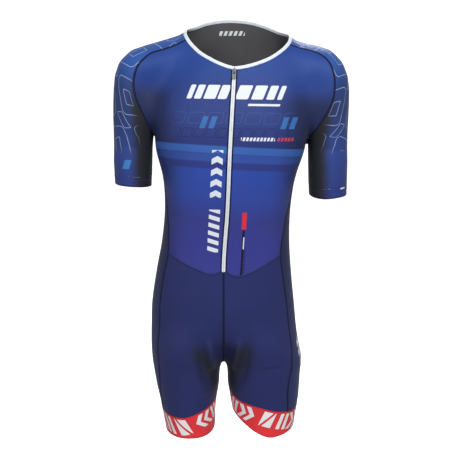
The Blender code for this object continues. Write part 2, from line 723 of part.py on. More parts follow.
class Half:
    """The seams of one half of the suit, each one a line of points on the shape."""

    def __init__(self, side):
        self.side = side
        self.right = side == "right"
        self.sign = -1 if self.right else 1
        self.round = -360 if self.right else 0
        self.leg = LEG_AXES[side]
        self.arm = ARM_AXES[side]
        self.band_rings = BAND_RINGS[side]
        self.sew_armhole()
        self.sew_side()
        self.sew_front()
        self.sew_shorts()
        self.sew_sleeve()

    def sew_armhole(self):
        """The raglan seams from the neck to the armpit, and the side panel's edge between them."""
        front_table, back_table = RAGLAN_SEAMS[self.side]
        neck_front, neck_back = neck_points(RAGLAN_BEARINGS[self.side])
        depth = np.linspace(ARMPIT_FRONT, ARMPIT_BACK, SIDE_COLUMNS + 1)
        self.roof = under_points(ARMPIT_X[self.side], depth, -300)
        front = front_line(neck_front, front_table)
        back = back_line(neck_back, back_table)
        self.front = seam(np.concatenate([front, self.roof[:1]]), RAGLAN_ROWS)
        self.back = seam(np.concatenate([back, self.roof[-1:]]), RAGLAN_ROWS)

    def sew_side(self):
        """Both long seams of the side panel, and its low edge on the leg band."""
        start, end = BAND_CORNERS[self.side]
        top_ring = self.band_rings[0]
        self.band_side = seam(ring_points(top_ring, self.leg, turns(start, end + self.round)), SIDE_COLUMNS)
        self.side_front = side_seam(self.side, "front", self.roof[0], self.band_side[0])
        self.side_back = side_seam(self.side, "back", self.roof[-1], self.band_side[-1])

    def sew_front(self):
        """The front panel's edges along the zip, the neck and the waist."""
        edge = zip_line(self.sign * (ZIP_WIDTH + GAP) / 2)
        split = np.argmin(np.abs(edge[:, 2] - ZIP_SPLIT))
        self.zip_edge = join(seam(edge[:split + 1], RAGLAN_ROWS), seam(edge[split:], TORSO_ROWS))
        corner = edge[0] - (*NECK_AXIS, 0)
        bearing = math.degrees(math.atan2(corner[1], corner[0]))
        neck = neck_points(turns(RAGLAN_BEARINGS[self.side][0], bearing))
        neck[-1] = edge[0]
        self.neck_front = seam(neck, FLAT_COLUMNS)
        waist = front_line(self.side_front[0][-1], WAISTS[self.side], edge[-1])
        waist[-1] = edge[-1]
        self.waist_front = seam(waist, FLAT_COLUMNS)

    def sew_shorts(self):
        """The edges of the shorts: waist, centre and inner leg, and the tops of the leg band."""
        notch = front_points(np.array([CENTRE_SEAM]), np.array([ZIP_END]))
        back_notch = back_points(np.array([CENTRE_SEAM]), np.array([WAIST_BACK]))
        corner = self.side_back[0][-1]
        middle = ((corner[0] + CENTRE_SEAM) / 2, WAIST_BACK_MIDDLE)
        path = smooth_line([(corner[0], corner[2]), middle, (CENTRE_SEAM, WAIST_BACK)])
        waist = back_points(path[:, 0], path[:, 1])
        waist[0] = corner
        self.waist_back = seam(waist, BACK_COLUMNS // 2)
        self.shorts_top = np.concatenate([self.waist_front, notch])
        bearing = INSEAM_BEARINGS[self.side]
        foot = ring_points(self.band_rings[0], self.leg, np.array([bearing]))[0]
        self.centre_front = centre_seam(notch[0], "front", foot, self.side)
        self.centre_back = centre_seam(back_notch[0], "back", foot, self.side)
        self.band_front = self.band_edge(0, bearing - (0 if self.right else 360), len(self.shorts_top) - 1)
        self.band_back = self.band_edge(1, bearing, BACK_COLUMNS // 2)

    def band_edge(self, corner, end, segments):
        """The leg band's top from one side seam to the inner leg."""
        ring = ring_points(self.band_rings[0], self.leg, turns(BAND_CORNERS[self.side][corner], end))
        return seam(ring, segments)

    def sew_sleeve(self):
        """The sleeve's edges at the neck, under the arm and at the cuff."""
        around = turns(0 if self.right else 180, self.round or 540, 120)
        angle = np.radians(around)
        height = CUFF_RINGS[self.side].read("height", around) + CUFF_HEIGHT
        ring = cast(columns(*self.arm, height), columns(np.cos(angle), np.sin(angle), 0))
        self.cuff_top = seam(ring, SLEEVE_COLUMNS)
        top = self.roof[SIDE_COLUMNS // 2]
        low = self.cuff_top[0]
        height = np.linspace(top[2] - ARMPIT_CLEAR, low[2], 40)
        depth = np.linspace(top[1], low[1], 40)
        under = side_points(self.arm[0], depth, height, "left" if self.right else "right")
        self.under = seam(np.concatenate([top[None], under[:-1], low[None]]), UNDERARM_ROWS)
        start, end = RAGLAN_BEARINGS[self.side]
        self.neck_sleeve = seam(neck_points(turns(start, end + self.round)), SLEEVE_COLUMNS)


def make_front(half, collection):
    edge = join(half.front, half.side_front[0])
    chart = RayChart(TORSO_CORE_FRONT, -90.0)
    grid = patch(chart, half.neck_front, half.waist_front, edge, half.zip_edge)
    wall("front_" + half.side, relax(grid), "blue_cloth", collection)


def make_back(right, left, collection):
    bearings = turns(RAGLAN_BEARINGS["right"][1], RAGLAN_BEARINGS["left"][1])
    neck = seam(neck_points(bearings), BACK_COLUMNS)
    waist = join(right.waist_back, left.waist_back[::-1])
    chart = RayChart(TORSO_CORE_BACK, 90.0)
    edges = [join(half.back, half.side_back[0]) for half in (right, left)]
    wall("back_panel", relax(patch(chart, neck, waist, *edges)), "blue_cloth", collection)
    return neck


def make_side(half, collection):
    chart = RayChart(half.leg, 180.0 if half.right else 0.0)
    grid = patch(chart, half.roof, half.band_side, join(*half.side_front), join(*half.side_back))
    wall("side_" + half.side, relax(grid), "navy_cloth", collection)


def make_shorts(half, collection):
    core = SHORTS_CORES[half.side]
    facing = SHORTS_FACING[half.side]
    edges = {
        "front": (half.shorts_top, half.band_front, half.side_front[1], half.centre_front),
        "back": (half.waist_back, half.band_back, half.side_back[1], half.centre_back),
    }
    for face, lines in edges.items():
        chart = RayChart(core, facing if face == "front" else -facing)
        grid = relax(patch(chart, *lines))
        wall("short_%s_%s" % (face, half.side), grid, "navy_cloth", collection)


def tube(axis, top, low_ring, rows):
    """Rows of points round an upright axis, from a ring of points down to a ring table."""
    bearings = np.degrees(np.arctan2(top[:, 1] - axis[1], top[:, 0] - axis[0]))
    share = np.linspace(0, 1, rows + 1)[:, None]
    height = top[:, 2] * (1 - share) + low_ring.read("height", bearings) * share
    angle = np.radians(bearings) + 0 * height
    grid = cast(columns(*axis, height), columns(np.cos(angle), np.sin(angle), 0))
    grid[0] = top
    return grid


def make_leg_band(half, collection):
    top = np.concatenate([half.band_front[::-1], half.band_side[1:-1], half.band_back[:-1]])
    grid = tube(half.leg, top, half.band_rings[1], BAND_ROWS)
    wall("leg_band_" + half.side, grid, "red_band", collection, closed=True)


def turn_under_arm(top, bottom, first, last):
    """Makes the turns of a sleeve's edges run on past the half turn under the arm."""
    start = RAGLAN_ROWS + 1
    first[start:, 0] %= 360
    last[start:, 0] = last[start:, 0] % 360 - 360
    bottom[:, 0] = np.unwrap(bottom[:, 0], period=360)
    bottom[:, 0] += first[-1, 0] - bottom[0, 0]
    return top, bottom, first, last


def make_sleeve(half, collection):
    middle = SIDE_COLUMNS // 2
    first = join(half.front, half.roof[:middle + 1], half.under)
    last = join(half.back, half.roof[middle:][::-1], half.under)
    chart = SleeveChart(SLEEVE_CORES[half.side], half.side)
    grid = patch(chart, half.neck_sleeve, half.cuff_top, first, last, turn_under_arm)
    wall("sleeve_" + half.side, grid, "blue_cloth", collection)
    grid = tube(half.arm, half.cuff_top[:-1], CUFF_RINGS[half.side], CUFF_ROWS)
    wall("cuff_" + half.side, grid, "blue_cloth", collection, closed=True)


def make_binding(right, left, back_neck, collection):
    """The folded binding: its section follows the neck, and its two ends meet over the zip."""
    top = zip_line()[:1]
    ring = np.concatenate([
        top, right.neck_front[::-1], right.neck_sleeve[1:], back_neck[1:],
        left.neck_sleeve[::-1][1:], left.neck_front[1:], top,
    ])
    along = np.gradient(ring, axis=0)
    along[0] = ring[1] - ring[0]
    along[-1] = ring[-1] - ring[-2]
    along /= np.linalg.norm(along, axis=1, keepdims=True)
    ring[0] += along[0] * BINDING_SLIT / 2
    ring[-1] -= along[-1] * BINDING_SLIT / 2
    up = np.cross(along, normals(ring))
    up /= np.linalg.norm(up, axis=1, keepdims=True)
    up *= np.sign(up[:, 2:])
    section = []
    for rise, height in BINDING_SECTION.rows:
        line = settle(ring + up * rise)
        section.append(line + normals(line) * height)
    points = np.stack(section, 1)
    count, width = points.shape[:2]
    index = np.arange(count * width).reshape(count, width)
    faces = solid_grid(index, False, True)
    faces += [tuple(index[0]), tuple(index[-1][::-1])]
    add_object("neck_binding", points.reshape(-1, 3), faces, "white_trim", collection)


def make_zip_tape(right, left, collection):
    """The tape and the closed coil along its middle, between the two front panels."""
    half_width = (ZIP_WIDTH + GAP) / 2
    share = (ZIP_SECTION.column("across") / half_width + 1) / 2
    rows = right.zip_edge[:, None] * (1 - share)[:, None] + left.zip_edge[:, None] * share[:, None]
    rows = settle(rows)
    out = normals(rows)
    rows[0] += edge_gap(rows[0], rows[1], out[0])
    rows[-1] += edge_gap(rows[-1], rows[-2], out[-1])
    outer = rows + out * ZIP_SECTION.column("height")[:, None]
    inner = rows[:, ::-1] - out[:, ::-1] * WALL
    points = np.concatenate([outer, inner], 1)
    count, width = points.shape[:2]
    index = np.arange(count * width).reshape(count, width)
    half = width // 2
    faces = solid_grid(index, False, True)
    for row, flip in ((index[0], 1), (index[-1], -1)):
        for j in range(half - 1):
            faces.append((row[j], row[j + 1], row[width - 2 - j], row[width - 1 - j])[::flip])
    add_object("zip_tape", points.reshape(-1, 3), faces, "white_trim", collection)


def slider_frame():
    """From the slider's own millimetres (across, up the zip, outwards) to the part's metres."""
    line = zip_line()
    knots = np.append(0, np.cumsum(np.linalg.norm(np.diff(line, axis=0), axis=1)))
    centre = settle(np.array([np.interp(SLIDER_DROP, knots, column) for column in line.T]))
    out = normals(centre)
    up = line[0] - line[4]
    up = up - out * (up @ out)
    up /= np.linalg.norm(up)
    across = np.cross(up, out)
    frame = Matrix([*zip(across * MM, up * MM, out * MM, centre * MM)])
    return Matrix([*frame, (0, 0, 0, 1)])


def rounded_box(width, low, high, radius):
    """A closed outline with rounded corners, in turn from the low right corner."""
    outline = []
    corners = ((1, low + radius, -90), (1, high - radius, 0), (-1, high - radius, 90), (-1, low + radius, 180))
    for side, height, start in corners:
        for turn in np.radians(start + np.linspace(0, 90, 5)):
            x = side * (width / 2 - radius) + radius * math.cos(turn)
            outline.append((x, height + radius * math.sin(turn)))
    return outline


def cut_plate(name, outlines, thickness, bevel, collection):
    """A flat plate in the x-y plane with rounded rims. Outlines after the first one are holes."""
    curve = bpy.data.curves.new(name, "CURVE")
    curve.dimensions = "2D"
    curve.fill_mode = "BOTH"
    curve.extrude = thickness / 2 - bevel
    curve.bevel_depth = bevel
    curve.bevel_resolution = 1
    curve.offset = -bevel
    for outline in outlines:
        spline = curve.splines.new("POLY")
        spline.points.add(len(outline) - 1)
        for point, place in zip(spline.points, outline):
            point.co = (*place, 0, 1)
        spline.use_cyclic_u = True
    holder = bpy.data.objects.new(name + "_outline", curve)
    collection.objects.link(holder)
    mesh = bpy.data.meshes.new_from_object(holder.evaluated_get(bpy.context.evaluated_depsgraph_get()))
    bpy.data.objects.remove(holder, do_unlink=True)
    work = bmesh.new()
    work.from_mesh(mesh)
    bmesh.ops.remove_doubles(work, verts=work.verts, dist=0.001)
    bmesh.ops.recalc_face_normals(work, faces=work.faces)
    work.to_mesh(mesh)
    work.free()
    return mesh


def place_part(name, mesh, frame, finish, collection):
    """One hard object from a mesh in the slider's millimetres. Its origin is the frame's own."""
    mesh.transform(Matrix.Scale(MM, 4))
    mesh.name = name
    mesh.materials.clear()
    mesh.materials.append(finish_material(finish))
    mesh.shade_smooth()
    mesh.set_sharp_from_angle(angle=math.radians(40))
    piece = bpy.data.objects.new(name, mesh)
    piece.matrix_world = frame @ Matrix.Scale(1 / MM, 4)
    collection.objects.link(piece)


def make_slider(frame, collection):
    """The slider's plate, joined with the bridge that holds the pull tab's bar."""
    width, length, thick = SLIDER_PLATE
    outline = rounded_box(width, -length / 2, length / 2, SLIDER_CORNER)
    plate = cut_plate("plate", [outline], thick, SLIDER_BEVEL, collection)
    plate.transform(Matrix.Translation((0, 0, SLIDER_LIFT + thick / 2)))
    foot = SLIDER_LIFT + thick / 2
    inner_top = PULL_PIVOT + PULL_TOP_BAR / 2 + BRIDGE_ROOM
    reach = PULL_TOP_BAR / 2 + BRIDGE_REACH
    outer = [(x, y) for x, y in rounded_box(2 * (reach + BRIDGE_BAR), foot, inner_top + BRIDGE_BAR, 1.0)
             if y > foot + 1.001]
    arch = [(reach + BRIDGE_BAR, foot)] + outer + [(-reach - BRIDGE_BAR, foot), (-reach, foot)]
    arch += [(-reach, inner_top), (reach, inner_top), (reach, foot)]
    bridge = cut_plate("bridge", [arch], BRIDGE_WIDTH, 0.15, collection)
    bridge.transform(Matrix(((0, 0, 1, 0), (1, 0, 0, 0), (0, 1, 0, 0), (0, 0, 0, 1))))
    body = bpy.data.objects.new("slider_body", plate)
    tool = bpy.data.objects.new("slider_bridge", bridge)
    for piece in (body, tool):
        collection.objects.link(piece)
    union = body.modifiers.new("bridge", "BOOLEAN")
    union.operation = "UNION"
    union.solver = "EXACT"
    union.object = tool
    mesh = bpy.data.meshes.new_from_object(body.evaluated_get(bpy.context.evaluated_depsgraph_get()))
    for piece in (body, tool):
        bpy.data.objects.remove(piece, do_unlink=True)
    place_part("zip_slider", mesh, frame, "zip_metal", collection)


def make_pull(frame, collection):
    """The pull tab, hanging from the bar at the top of its eye."""
    top = PULL_TOP_BAR / 2
    eye_width, eye_length = PULL_EYE
    outline = rounded_box(PULL_WIDTH, top - PULL_LENGTH, top, PULL_CORNER)
    eye = rounded_box(eye_width, -top - eye_length, -top, EYE_CORNER)
    mesh = cut_plate("pull", [outline, eye], PULL_THICKNESS, PULL_BEVEL, collection)
    lift = Matrix.Translation((0, 0, PULL_PIVOT))
    place_part("zip_pull", mesh, frame @ lift, "zip_metal", collection)


def main():
    for piece in list(bpy.data.objects):
        bpy.data.objects.remove(piece, do_unlink=True)
    collection = bpy.data.collections.new(NAME)
    bpy.context.scene.collection.children.link(collection)
    right = Half("right")
    left = Half("left")
    for half in (right, left):
        make_front(half, collection)
        make_side(half, collection)
        make_shorts(half, collection)
        make_leg_band(half, collection)
        make_sleeve(half, collection)
    back_neck = make_back(right, left, collection)
    make_binding(right, left, back_neck, collection)
    make_zip_tape(right, left, collection)
    frame = slider_frame()
    make_slider(frame, collection)
    make_pull(frame, collection)


main()
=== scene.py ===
# %% [markdown]
# # A triathlon suit, worn and empty
# A triathlon suit is one thin skin of stretch knit. It is cut in panels, and dark flat seams join them.
# This lesson dresses a plain model of such a suit. The plain model holds the sizes and the moving zip
# pull, and each cell below adds one piece or one finish over it.

# %% Load the frame
import math

import bmesh
import bpy
import numpy as np
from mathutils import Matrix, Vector


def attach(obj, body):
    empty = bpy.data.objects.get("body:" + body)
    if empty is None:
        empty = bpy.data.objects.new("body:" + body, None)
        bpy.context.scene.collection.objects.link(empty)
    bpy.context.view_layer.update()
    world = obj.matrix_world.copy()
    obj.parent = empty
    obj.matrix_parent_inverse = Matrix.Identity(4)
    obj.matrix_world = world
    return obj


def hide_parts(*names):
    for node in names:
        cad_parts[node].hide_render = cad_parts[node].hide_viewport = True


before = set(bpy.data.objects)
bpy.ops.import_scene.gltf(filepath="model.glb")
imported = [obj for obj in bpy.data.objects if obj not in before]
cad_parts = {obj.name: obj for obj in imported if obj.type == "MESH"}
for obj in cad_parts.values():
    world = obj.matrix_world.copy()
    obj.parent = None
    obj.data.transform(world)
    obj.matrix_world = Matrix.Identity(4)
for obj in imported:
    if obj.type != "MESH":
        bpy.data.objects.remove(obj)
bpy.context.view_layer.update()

MM = 0.001  # metres in a millimetre: every size below is in millimetres
WALL = 1.2
GAP = 0.3  # between two panels, where they are sewn

# %% [markdown]
# ## Reading short tables
# A maker notes a garment as a few measures at a few heights. A computer can read between them along a
# smooth curve. Blender's own curves could do this too, but a small table is easier to read and change.
# The curve leaves each row at the slope of a parabola through it and the rows beside it.

# %% Tables that are read along a smooth curve
def smooth_column(knots, values, at):
    """Reads a table column between its rows along one smooth curve."""
    order = np.argsort(knots)
    x = knots[order]
    y = values[order]
    step = np.diff(x)
    slope = np.diff(y) / step
    tangent = np.empty_like(y)
    tangent[1:-1] = (slope[:-1] * step[1:] + slope[1:] * step[:-1]) / (step[:-1] + step[1:])
    tangent[0] = slope[0]
    tangent[-1] = slope[-1]
    at = np.clip(at, x[0], x[-1])
    i = np.clip(np.searchsorted(x, at) - 1, 0, len(x) - 2)
    h = step[i]
    t = (at - x[i]) / h
    start = (1 + 2 * t) * (1 - t) ** 2 * y[i] + t * (1 - t) ** 2 * h * tangent[i]
    end = t ** 2 * (3 - 2 * t) * y[i + 1] + t ** 2 * (t - 1) * h * tangent[i + 1]
    return start + end


class Table:
    """A short table with named columns. The first column is what the others are read against."""

    def __init__(self, names, *rows):
        self.names = names.split()
        self.rows = np.array(rows, float)

    def column(self, name):
        return self.rows[:, self.names.index(name)]

    def read(self, name, at):
        return smooth_column(self.rows[:, 0], self.column(name), at)


print("half way from 0 to 4:", Table("at value", (0, 0), (2, 1), (4, 4)).read("value", 2.0))

# %% [markdown]
# ## The suit's outer shape
#
# Stretch cloth takes the shape of what it is worn on. It could be sculpted, but then no seam would know
# where the cloth is. Here the trunk and the legs are columns of rounded squares, given by where each
# section ends on each side. Across is x, with the wearer's left at plus. Through is y, with the front at
# minus. The height counts from the shoulders.

# %% Sections of the trunk and legs
TORSO = Table(
    "height right left front back squareness",
    (40, -92, 76, -44, 66, 2.2),
    (0, -100, 97, -62, 80, 2.2),
    (-35, -110, 108, -78, 93, 2.3),
    (-70, -146, 136, -92, 102, 2.4),
    (-110, -170, 152, -104, 108, 2.5),
    (-160, -181, 155, -116, 111, 2.5),
    (-200, -175, 144.5, -120, 110, 2.7),
    (-239, -171.5, 137.5, -120, 107, 2.5),
    (-290, -159.5, 121.5, -114, 101, 2.4),
    (-356, -155.5, 111.5, -104, 93, 2.35),
    (-435, -162.5, 109.5, -98, 92, 2.35),
    (-502, -175, 114, -100, 104, 2.35),
    (-583, -187, 122.5, -104, 120, 2.3),
    (-640, -189, 128.5, -102, 122, 2.25),
)
LEG_RIGHT = Table(
    "height right left front back squareness",
    (-560, -183, 20, -103, 117, 2.15),
    (-640, -189, -4, -102, 122, 2.15),
    (-680, -189, -22, -97, 115, 2.15),
    (-708, -187, -34, -91, 106, 2.15),
    (-728, -184, -39, -88, 100, 2.15),
    (-764, -178, -42, -84, 90, 2.15),
    (-792, -172, -46, -81, 85, 2.15),
    (-821, -167, -49, -79, 81, 2.15),
    (-849, -162, -50, -77, 78, 2.15),
    (-900, -155, -50, -74, 74, 2.15),
)
LEG_LEFT = Table(
    "height right left front back squareness",
    (-560, -85, 119, -103, 117, 2.15),
    (-640, -58, 128.5, -102, 122, 2.15),
    (-680, -40, 135.5, -97, 115, 2.15),
    (-708, -28, 140.5, -91, 106, 2.15),
    (-728, -23, 138, -88, 100, 2.15),
    (-764, -21, 136, -84, 92, 2.15),
    (-792, -17, 134, -82, 88, 2.15),
    (-821, -12, 130, -80, 85, 2.15),
    (-849, -8, 126, -78, 82, 2.15),
    (-900, -2, 120, -75, 78, 2.15),
)
print("sections of the trunk:", len(TORSO.rows), "of each leg:", len(LEG_RIGHT.rows))

# %% [markdown]
# A sleeve bends over the shoulder, so level sections would cut it at a slant. Each arm is a chain of
# round links instead, which is a quarter deeper than it is wide.

# %% Round links of the shoulders and arms
ARM_RIGHT = Table(
    "step x y z radius",
    (0, -62, 5, -30, 44),
    (1, -112, 5, -48.5, 45),
    (2, -160, 5, -63, 45),
    (3, -199.5, 5, -73.5, 43.5),
    (4, -213, 4, -91, 43),
    (5, -216, 2, -125, 44),
    (6, -218, 0, -175, 43.5),
    (7, -220.5, 0, -226, 40.5),
    (8, -222, -2, -280, 40),
    (9, -221, -6, -380, 36),
)
ARM_LEFT = Table(
    "step x y z radius",
    (0, 62, 5, -52, 44),
    (1, 100, 5, -58, 45),
    (2, 136, 5, -66.5, 45),
    (3, 166.5, 5, -75, 45.5),
    (4, 180.5, 4, -94, 45.5),
    (5, 185, 2, -125, 45.5),
    (6, 186, 0, -175, 43.5),
    (7, 187.5, 0, -226, 41),
    (8, 189, -2, -280, 41),
    (9, 190, -6, -390, 38.5),
)
ARM_LINKS = 15
ARM_DEPTH = 1.25
print("arm lengths:", [round(float(np.ptp(arm.column("z")))) for arm in (ARM_RIGHT, ARM_LEFT)])

# %% [markdown]
# How far is a point outside the trunk, or outside an arm? In a rounded square it is a matter of how much
# the section would have to grow to reach the point. In a chain of links it is the distance to the
# nearest link, less the link's half width.

# %% Distances to the trunk and to an arm
def column_gap(table, points):
    """How far points are outside a column of rounded-square sections."""
    z = points[..., 2]
    right = table.read("right", z)
    left = table.read("left", z)
    front = table.read("front", z)
    back = table.read("back", z)
    squareness = table.read("squareness", z)
    x = points[..., 0] - (right + left) / 2
    y = points[..., 1] - (front + back) / 2
    across = np.abs(x / ((left - right) / 2)) ** squareness
    through = np.abs(y / ((back - front) / 2)) ** squareness
    reach = (across + through) ** (1 / squareness)
    return np.hypot(x, y) * (1 - 1 / np.maximum(reach, 1e-6))


def arm_links(table):
    """The arm's centres and half widths at evenly spaced steps of its table."""
    steps = np.linspace(0, table.rows[-1, 0], ARM_LINKS + 1)
    return np.stack([table.read(name, steps) for name in ("x", "y", "z", "radius")], 1)


def arm_gap(links, points):
    """How far points are outside a chain of round links that is deeper than it is wide."""
    scale = np.array([1, 1 / ARM_DEPTH, 1])
    points = points * scale
    gap = np.full(points.shape[:-1], np.inf)
    for start, end in zip(links[:-1], links[1:]):
        centre = start[:3] * scale
        along = (end[:3] - start[:3]) * scale
        t = np.clip(((points - centre) @ along) / (along @ along), 0, 1)
        off = np.linalg.norm(points - centre - t[..., None] * along, axis=-1)
        gap = np.minimum(gap, off - start[3] - t * (end[3] - start[3]))
    return gap


ARMS = (arm_links(ARM_RIGHT), arm_links(ARM_LEFT))
waist = np.array([-20.0, 0.0, -350.0])
print("from the middle of the waist to the trunk:", round(float(column_gap(TORSO, waist)), 1))

# %% [markdown]
# One function can now say how far any point is outside the whole suit. With it, seams, panels and
# stitches all find the same surface, so nothing floats and nothing sinks in. Where two forms meet, such
# as an arm and the trunk, they run into each other over a width of blend.

# %% How far a point is outside the shape
HIP_BLEND_TOP = -580.0
HIP_BLEND_LOW = -670.0
CROTCH_BLEND = 20.0
ARM_BLEND = Table(
    "height width",
    (40, 26), (-60, 28), (-110, 30), (-160, 28), (-192, 14), (-212, 8), (-400, 8),
)
PROBE = 0.5  # the short step that a slope is measured over
LEAST_SLOPE = 0.2  # keeps a step short where the distance hardly changes


def soft_min(a, b, width):
    """The less of two distances, with a rounded corner where they are alike."""
    near = np.maximum(width - np.abs(a - b), 0) / width
    return np.minimum(a, b) - near ** 2 * width / 4


def form(points):
    """How far points are outside the suit's outer shape. It is negative inside."""
    points = np.asarray(points, float)
    torso = column_gap(TORSO, points)
    right = column_gap(LEG_RIGHT, points)
    left = column_gap(LEG_LEFT, points)
    legs = soft_min(right, left, CROTCH_BLEND)
    share = (HIP_BLEND_TOP - points[..., 2]) / (HIP_BLEND_TOP - HIP_BLEND_LOW)
    share = np.clip(share, 0, 1)
    share = share * share * (3 - 2 * share)
    body = torso * (1 - share) + legs * share
    arms = np.minimum(arm_gap(ARMS[0], points), arm_gap(ARMS[1], points))
    return soft_min(body, arms, ARM_BLEND.read("width", points[..., 2]))


def slopes(points):
    """How fast the distance grows across, through and up."""
    shifts = np.eye(3) * PROBE
    rises = [form(points + shift) - form(points - shift) for shift in shifts]
    return np.stack(rises, -1) / (2 * PROBE)


def unit(ways):
    """The same directions, each of length 1."""
    return ways / np.linalg.norm(ways, axis=-1, keepdims=True)


def normals(points):
    """The outward direction of the shape at points on it."""
    return unit(slopes(points))


def settle(points, rounds=5):
    """Moves points that are near the shape onto it."""
    for _ in range(rounds):
        slope = slopes(points)
        pull = form(points) / np.maximum((slope ** 2).sum(-1), LEAST_SLOPE)
        points = points - slope * pull[..., None]
    return points


armpit = form((-177, 0, -150))
print("from a point in the arm's root to the cloth:", round(float(armpit), 1))

# %% [markdown]
# ## Rays that lay lines on the shape
#
# A seam is easy to describe from one side: so far across, so far down. A ray from there finds the place
# on the cloth. Blender's shrinkwrap modifier does the same with meshes, but it needs a mesh to wrap.

# %% Rays
FAR = 240.0  # outside the suit, in front of it or behind it
SAFE_SHARE = 0.55
LEAST_STEP = 0.35
MOST_STEPS = 70
HALVINGS = 16


def cast(start, way, reach=430.0):
    """Where rays first cross the shape, from outside or from inside.

    Each ray goes forward by a safe share of its distance from the shape, then halves the last step.
    """
    start, way = np.broadcast_arrays(np.asarray(start, float), np.asarray(way, float))
    way = unit(way)
    gap = form(start)
    inside = gap < 0
    low = np.zeros(inside.shape)
    high = np.full(inside.shape, reach)
    found = np.zeros(inside.shape, bool)
    for _ in range(MOST_STEPS):
        ahead = low + np.maximum(np.abs(gap) * SAFE_SHARE, LEAST_STEP)
        gap = form(start + way * ahead[..., None])
        crossed = ((gap < 0) != inside) & ~found
        high = np.where(crossed, ahead, high)
        found |= crossed
        low = np.where(found, low, np.minimum(ahead, reach))
        if found.all():
            break
    for _ in range(HALVINGS):
        middle = (low + high) / 2
        before = (form(start + way * middle[..., None]) < 0) == inside
        low = np.where(before, middle, low)
        high = np.where(before, high, middle)
    return start + way * ((low + high) / 2)[..., None]


def columns(*parts):
    """Stacks coordinates into points, repeating those that are single numbers."""
    return np.stack(np.broadcast_arrays(*[np.asarray(part, float) for part in parts]), -1)


print("front of the waist at y:", round(float(cast((-20, -FAR, -350), (0, 1, 0))[1]), 1))

# %% [markdown]
# Each seam is seen best from one side, so the rays come from the front, from behind, from inside to the
# side, from under a gap, or out from an upright line all round.

# %% Points seen from one side
def front_points(x, z):
    """Points on the front, cast from before it."""
    return cast(columns(x, -FAR, z), (0, 1, 0))


def back_points(x, z):
    """Points on the back, cast from behind it."""
    return cast(columns(x, FAR, z), (0, -1, 0))


def side_points(core_x, y, z, side):
    """Points on one side, cast from inside."""
    way = -1 if side == "right" else 1
    return cast(columns(core_x, y, z), (way, 0, 0))


def under_points(x, y, z):
    """Points on the roof over a gap, cast upwards from inside the gap."""
    return cast(columns(x, y, z), (0, 0, 1), reach=200.0)


def level_ways(bearings):
    """Level directions at bearings in degrees: 0 is the wearer's left, -90 the front."""
    angle = np.radians(bearings)
    return columns(np.cos(angle), np.sin(angle), 0)


def ring_points(ring, axis, bearings):
    """Points round an upright axis, at the heights of a ring table."""
    return cast(columns(*axis, ring.read("height", bearings)), level_ways(bearings))


print("front of the chest:", front_points(-20, -100).round(1))

# %% [markdown]
# The table of a seam has only a few places. A smooth line through them is cut into short, even pieces.

# %% Lines
def lengths(line):
    """How far along a line each of its points is."""
    return np.append(0, np.cumsum(np.linalg.norm(np.diff(line, axis=0), axis=1)))


def smooth_line(points, count=80):
    """A smooth line of many points through a few."""
    points = np.asarray(points, float)
    knots = lengths(points)
    at = np.linspace(0, knots[-1], count)
    return np.stack([smooth_column(knots, column, at) for column in points.T], 1)


def spaced(points, segments, crowding=1.0):
    """The same line with evenly spaced points, or with points that crowd towards its start."""
    knots = lengths(points)
    at = knots[-1] * np.linspace(0, 1, segments + 1) ** crowding
    return np.stack([np.interp(at, knots, column) for column in points.T], 1)


def seam(points, segments, crowding=1.0):
    """Spaced seam points that lie on the shape and keep both ends."""
    line = settle(spaced(points, segments, crowding))
    line[0] = points[0]
    line[-1] = points[-1]
    return line


def join(*lines):
    """Lines end to end, with each shared end kept once."""
    return np.concatenate([lines[0]] + [line[1:] for line in lines[1:]])


def cast_line(cast_from, start, places):
    """A seam line from a point on the shape through places seen from one side."""
    path = smooth_line([(start[0], start[2]), *places])
    line = cast_from(path[:, 0], path[:, 1])
    line[0] = start
    return line


print("pieces of a line 30 mm long:", len(spaced(np.array([(0, 0, 0), (30, 0, 0.0)]), 7)) - 1)

# %% [markdown]
# ## The measures of the seams
#
# These are the pattern maker's notes. A sleeve has a bent line down its middle. A ring gives a height at
# each bearing round the neck, an arm or a leg. A seam gives places across and heights, as they are seen
# from the front or from behind.

# %% Lines inside the sleeves
SLEEVE_CORE_RIGHT = Table(
    "step x y z",
    (0, -30, 0, -42),
    (1, -112, 0, -68),
    (2, -172, 0, -104),
    (3, -205, 0, -155),
    (4, -218, 0, -215),
    (5, -221, -2, -280),
    (6, -221, -4, -345),
)
SLEEVE_CORE_LEFT = Table(
    "step x y z",
    (0, 20, 0, -52),
    (1, 98, 0, -77),
    (2, 148, 0, -110),
    (3, 176, 0, -158),
    (4, 186, 0, -215),
    (5, 189, -2, -285),
    (6, 190, -4, -360),
)
SLEEVE_CORES = {"right": SLEEVE_CORE_RIGHT, "left": SLEEVE_CORE_LEFT}
print("sleeve cores:", len(SLEEVE_CORES))

# %% [markdown]
# A neckline or a hem is easiest to note as a ring: at this bearing from the middle, at this height. Minus
# 90 degrees is the front and 0 is the wearer's left. The suit leans, so no ring is quite level.

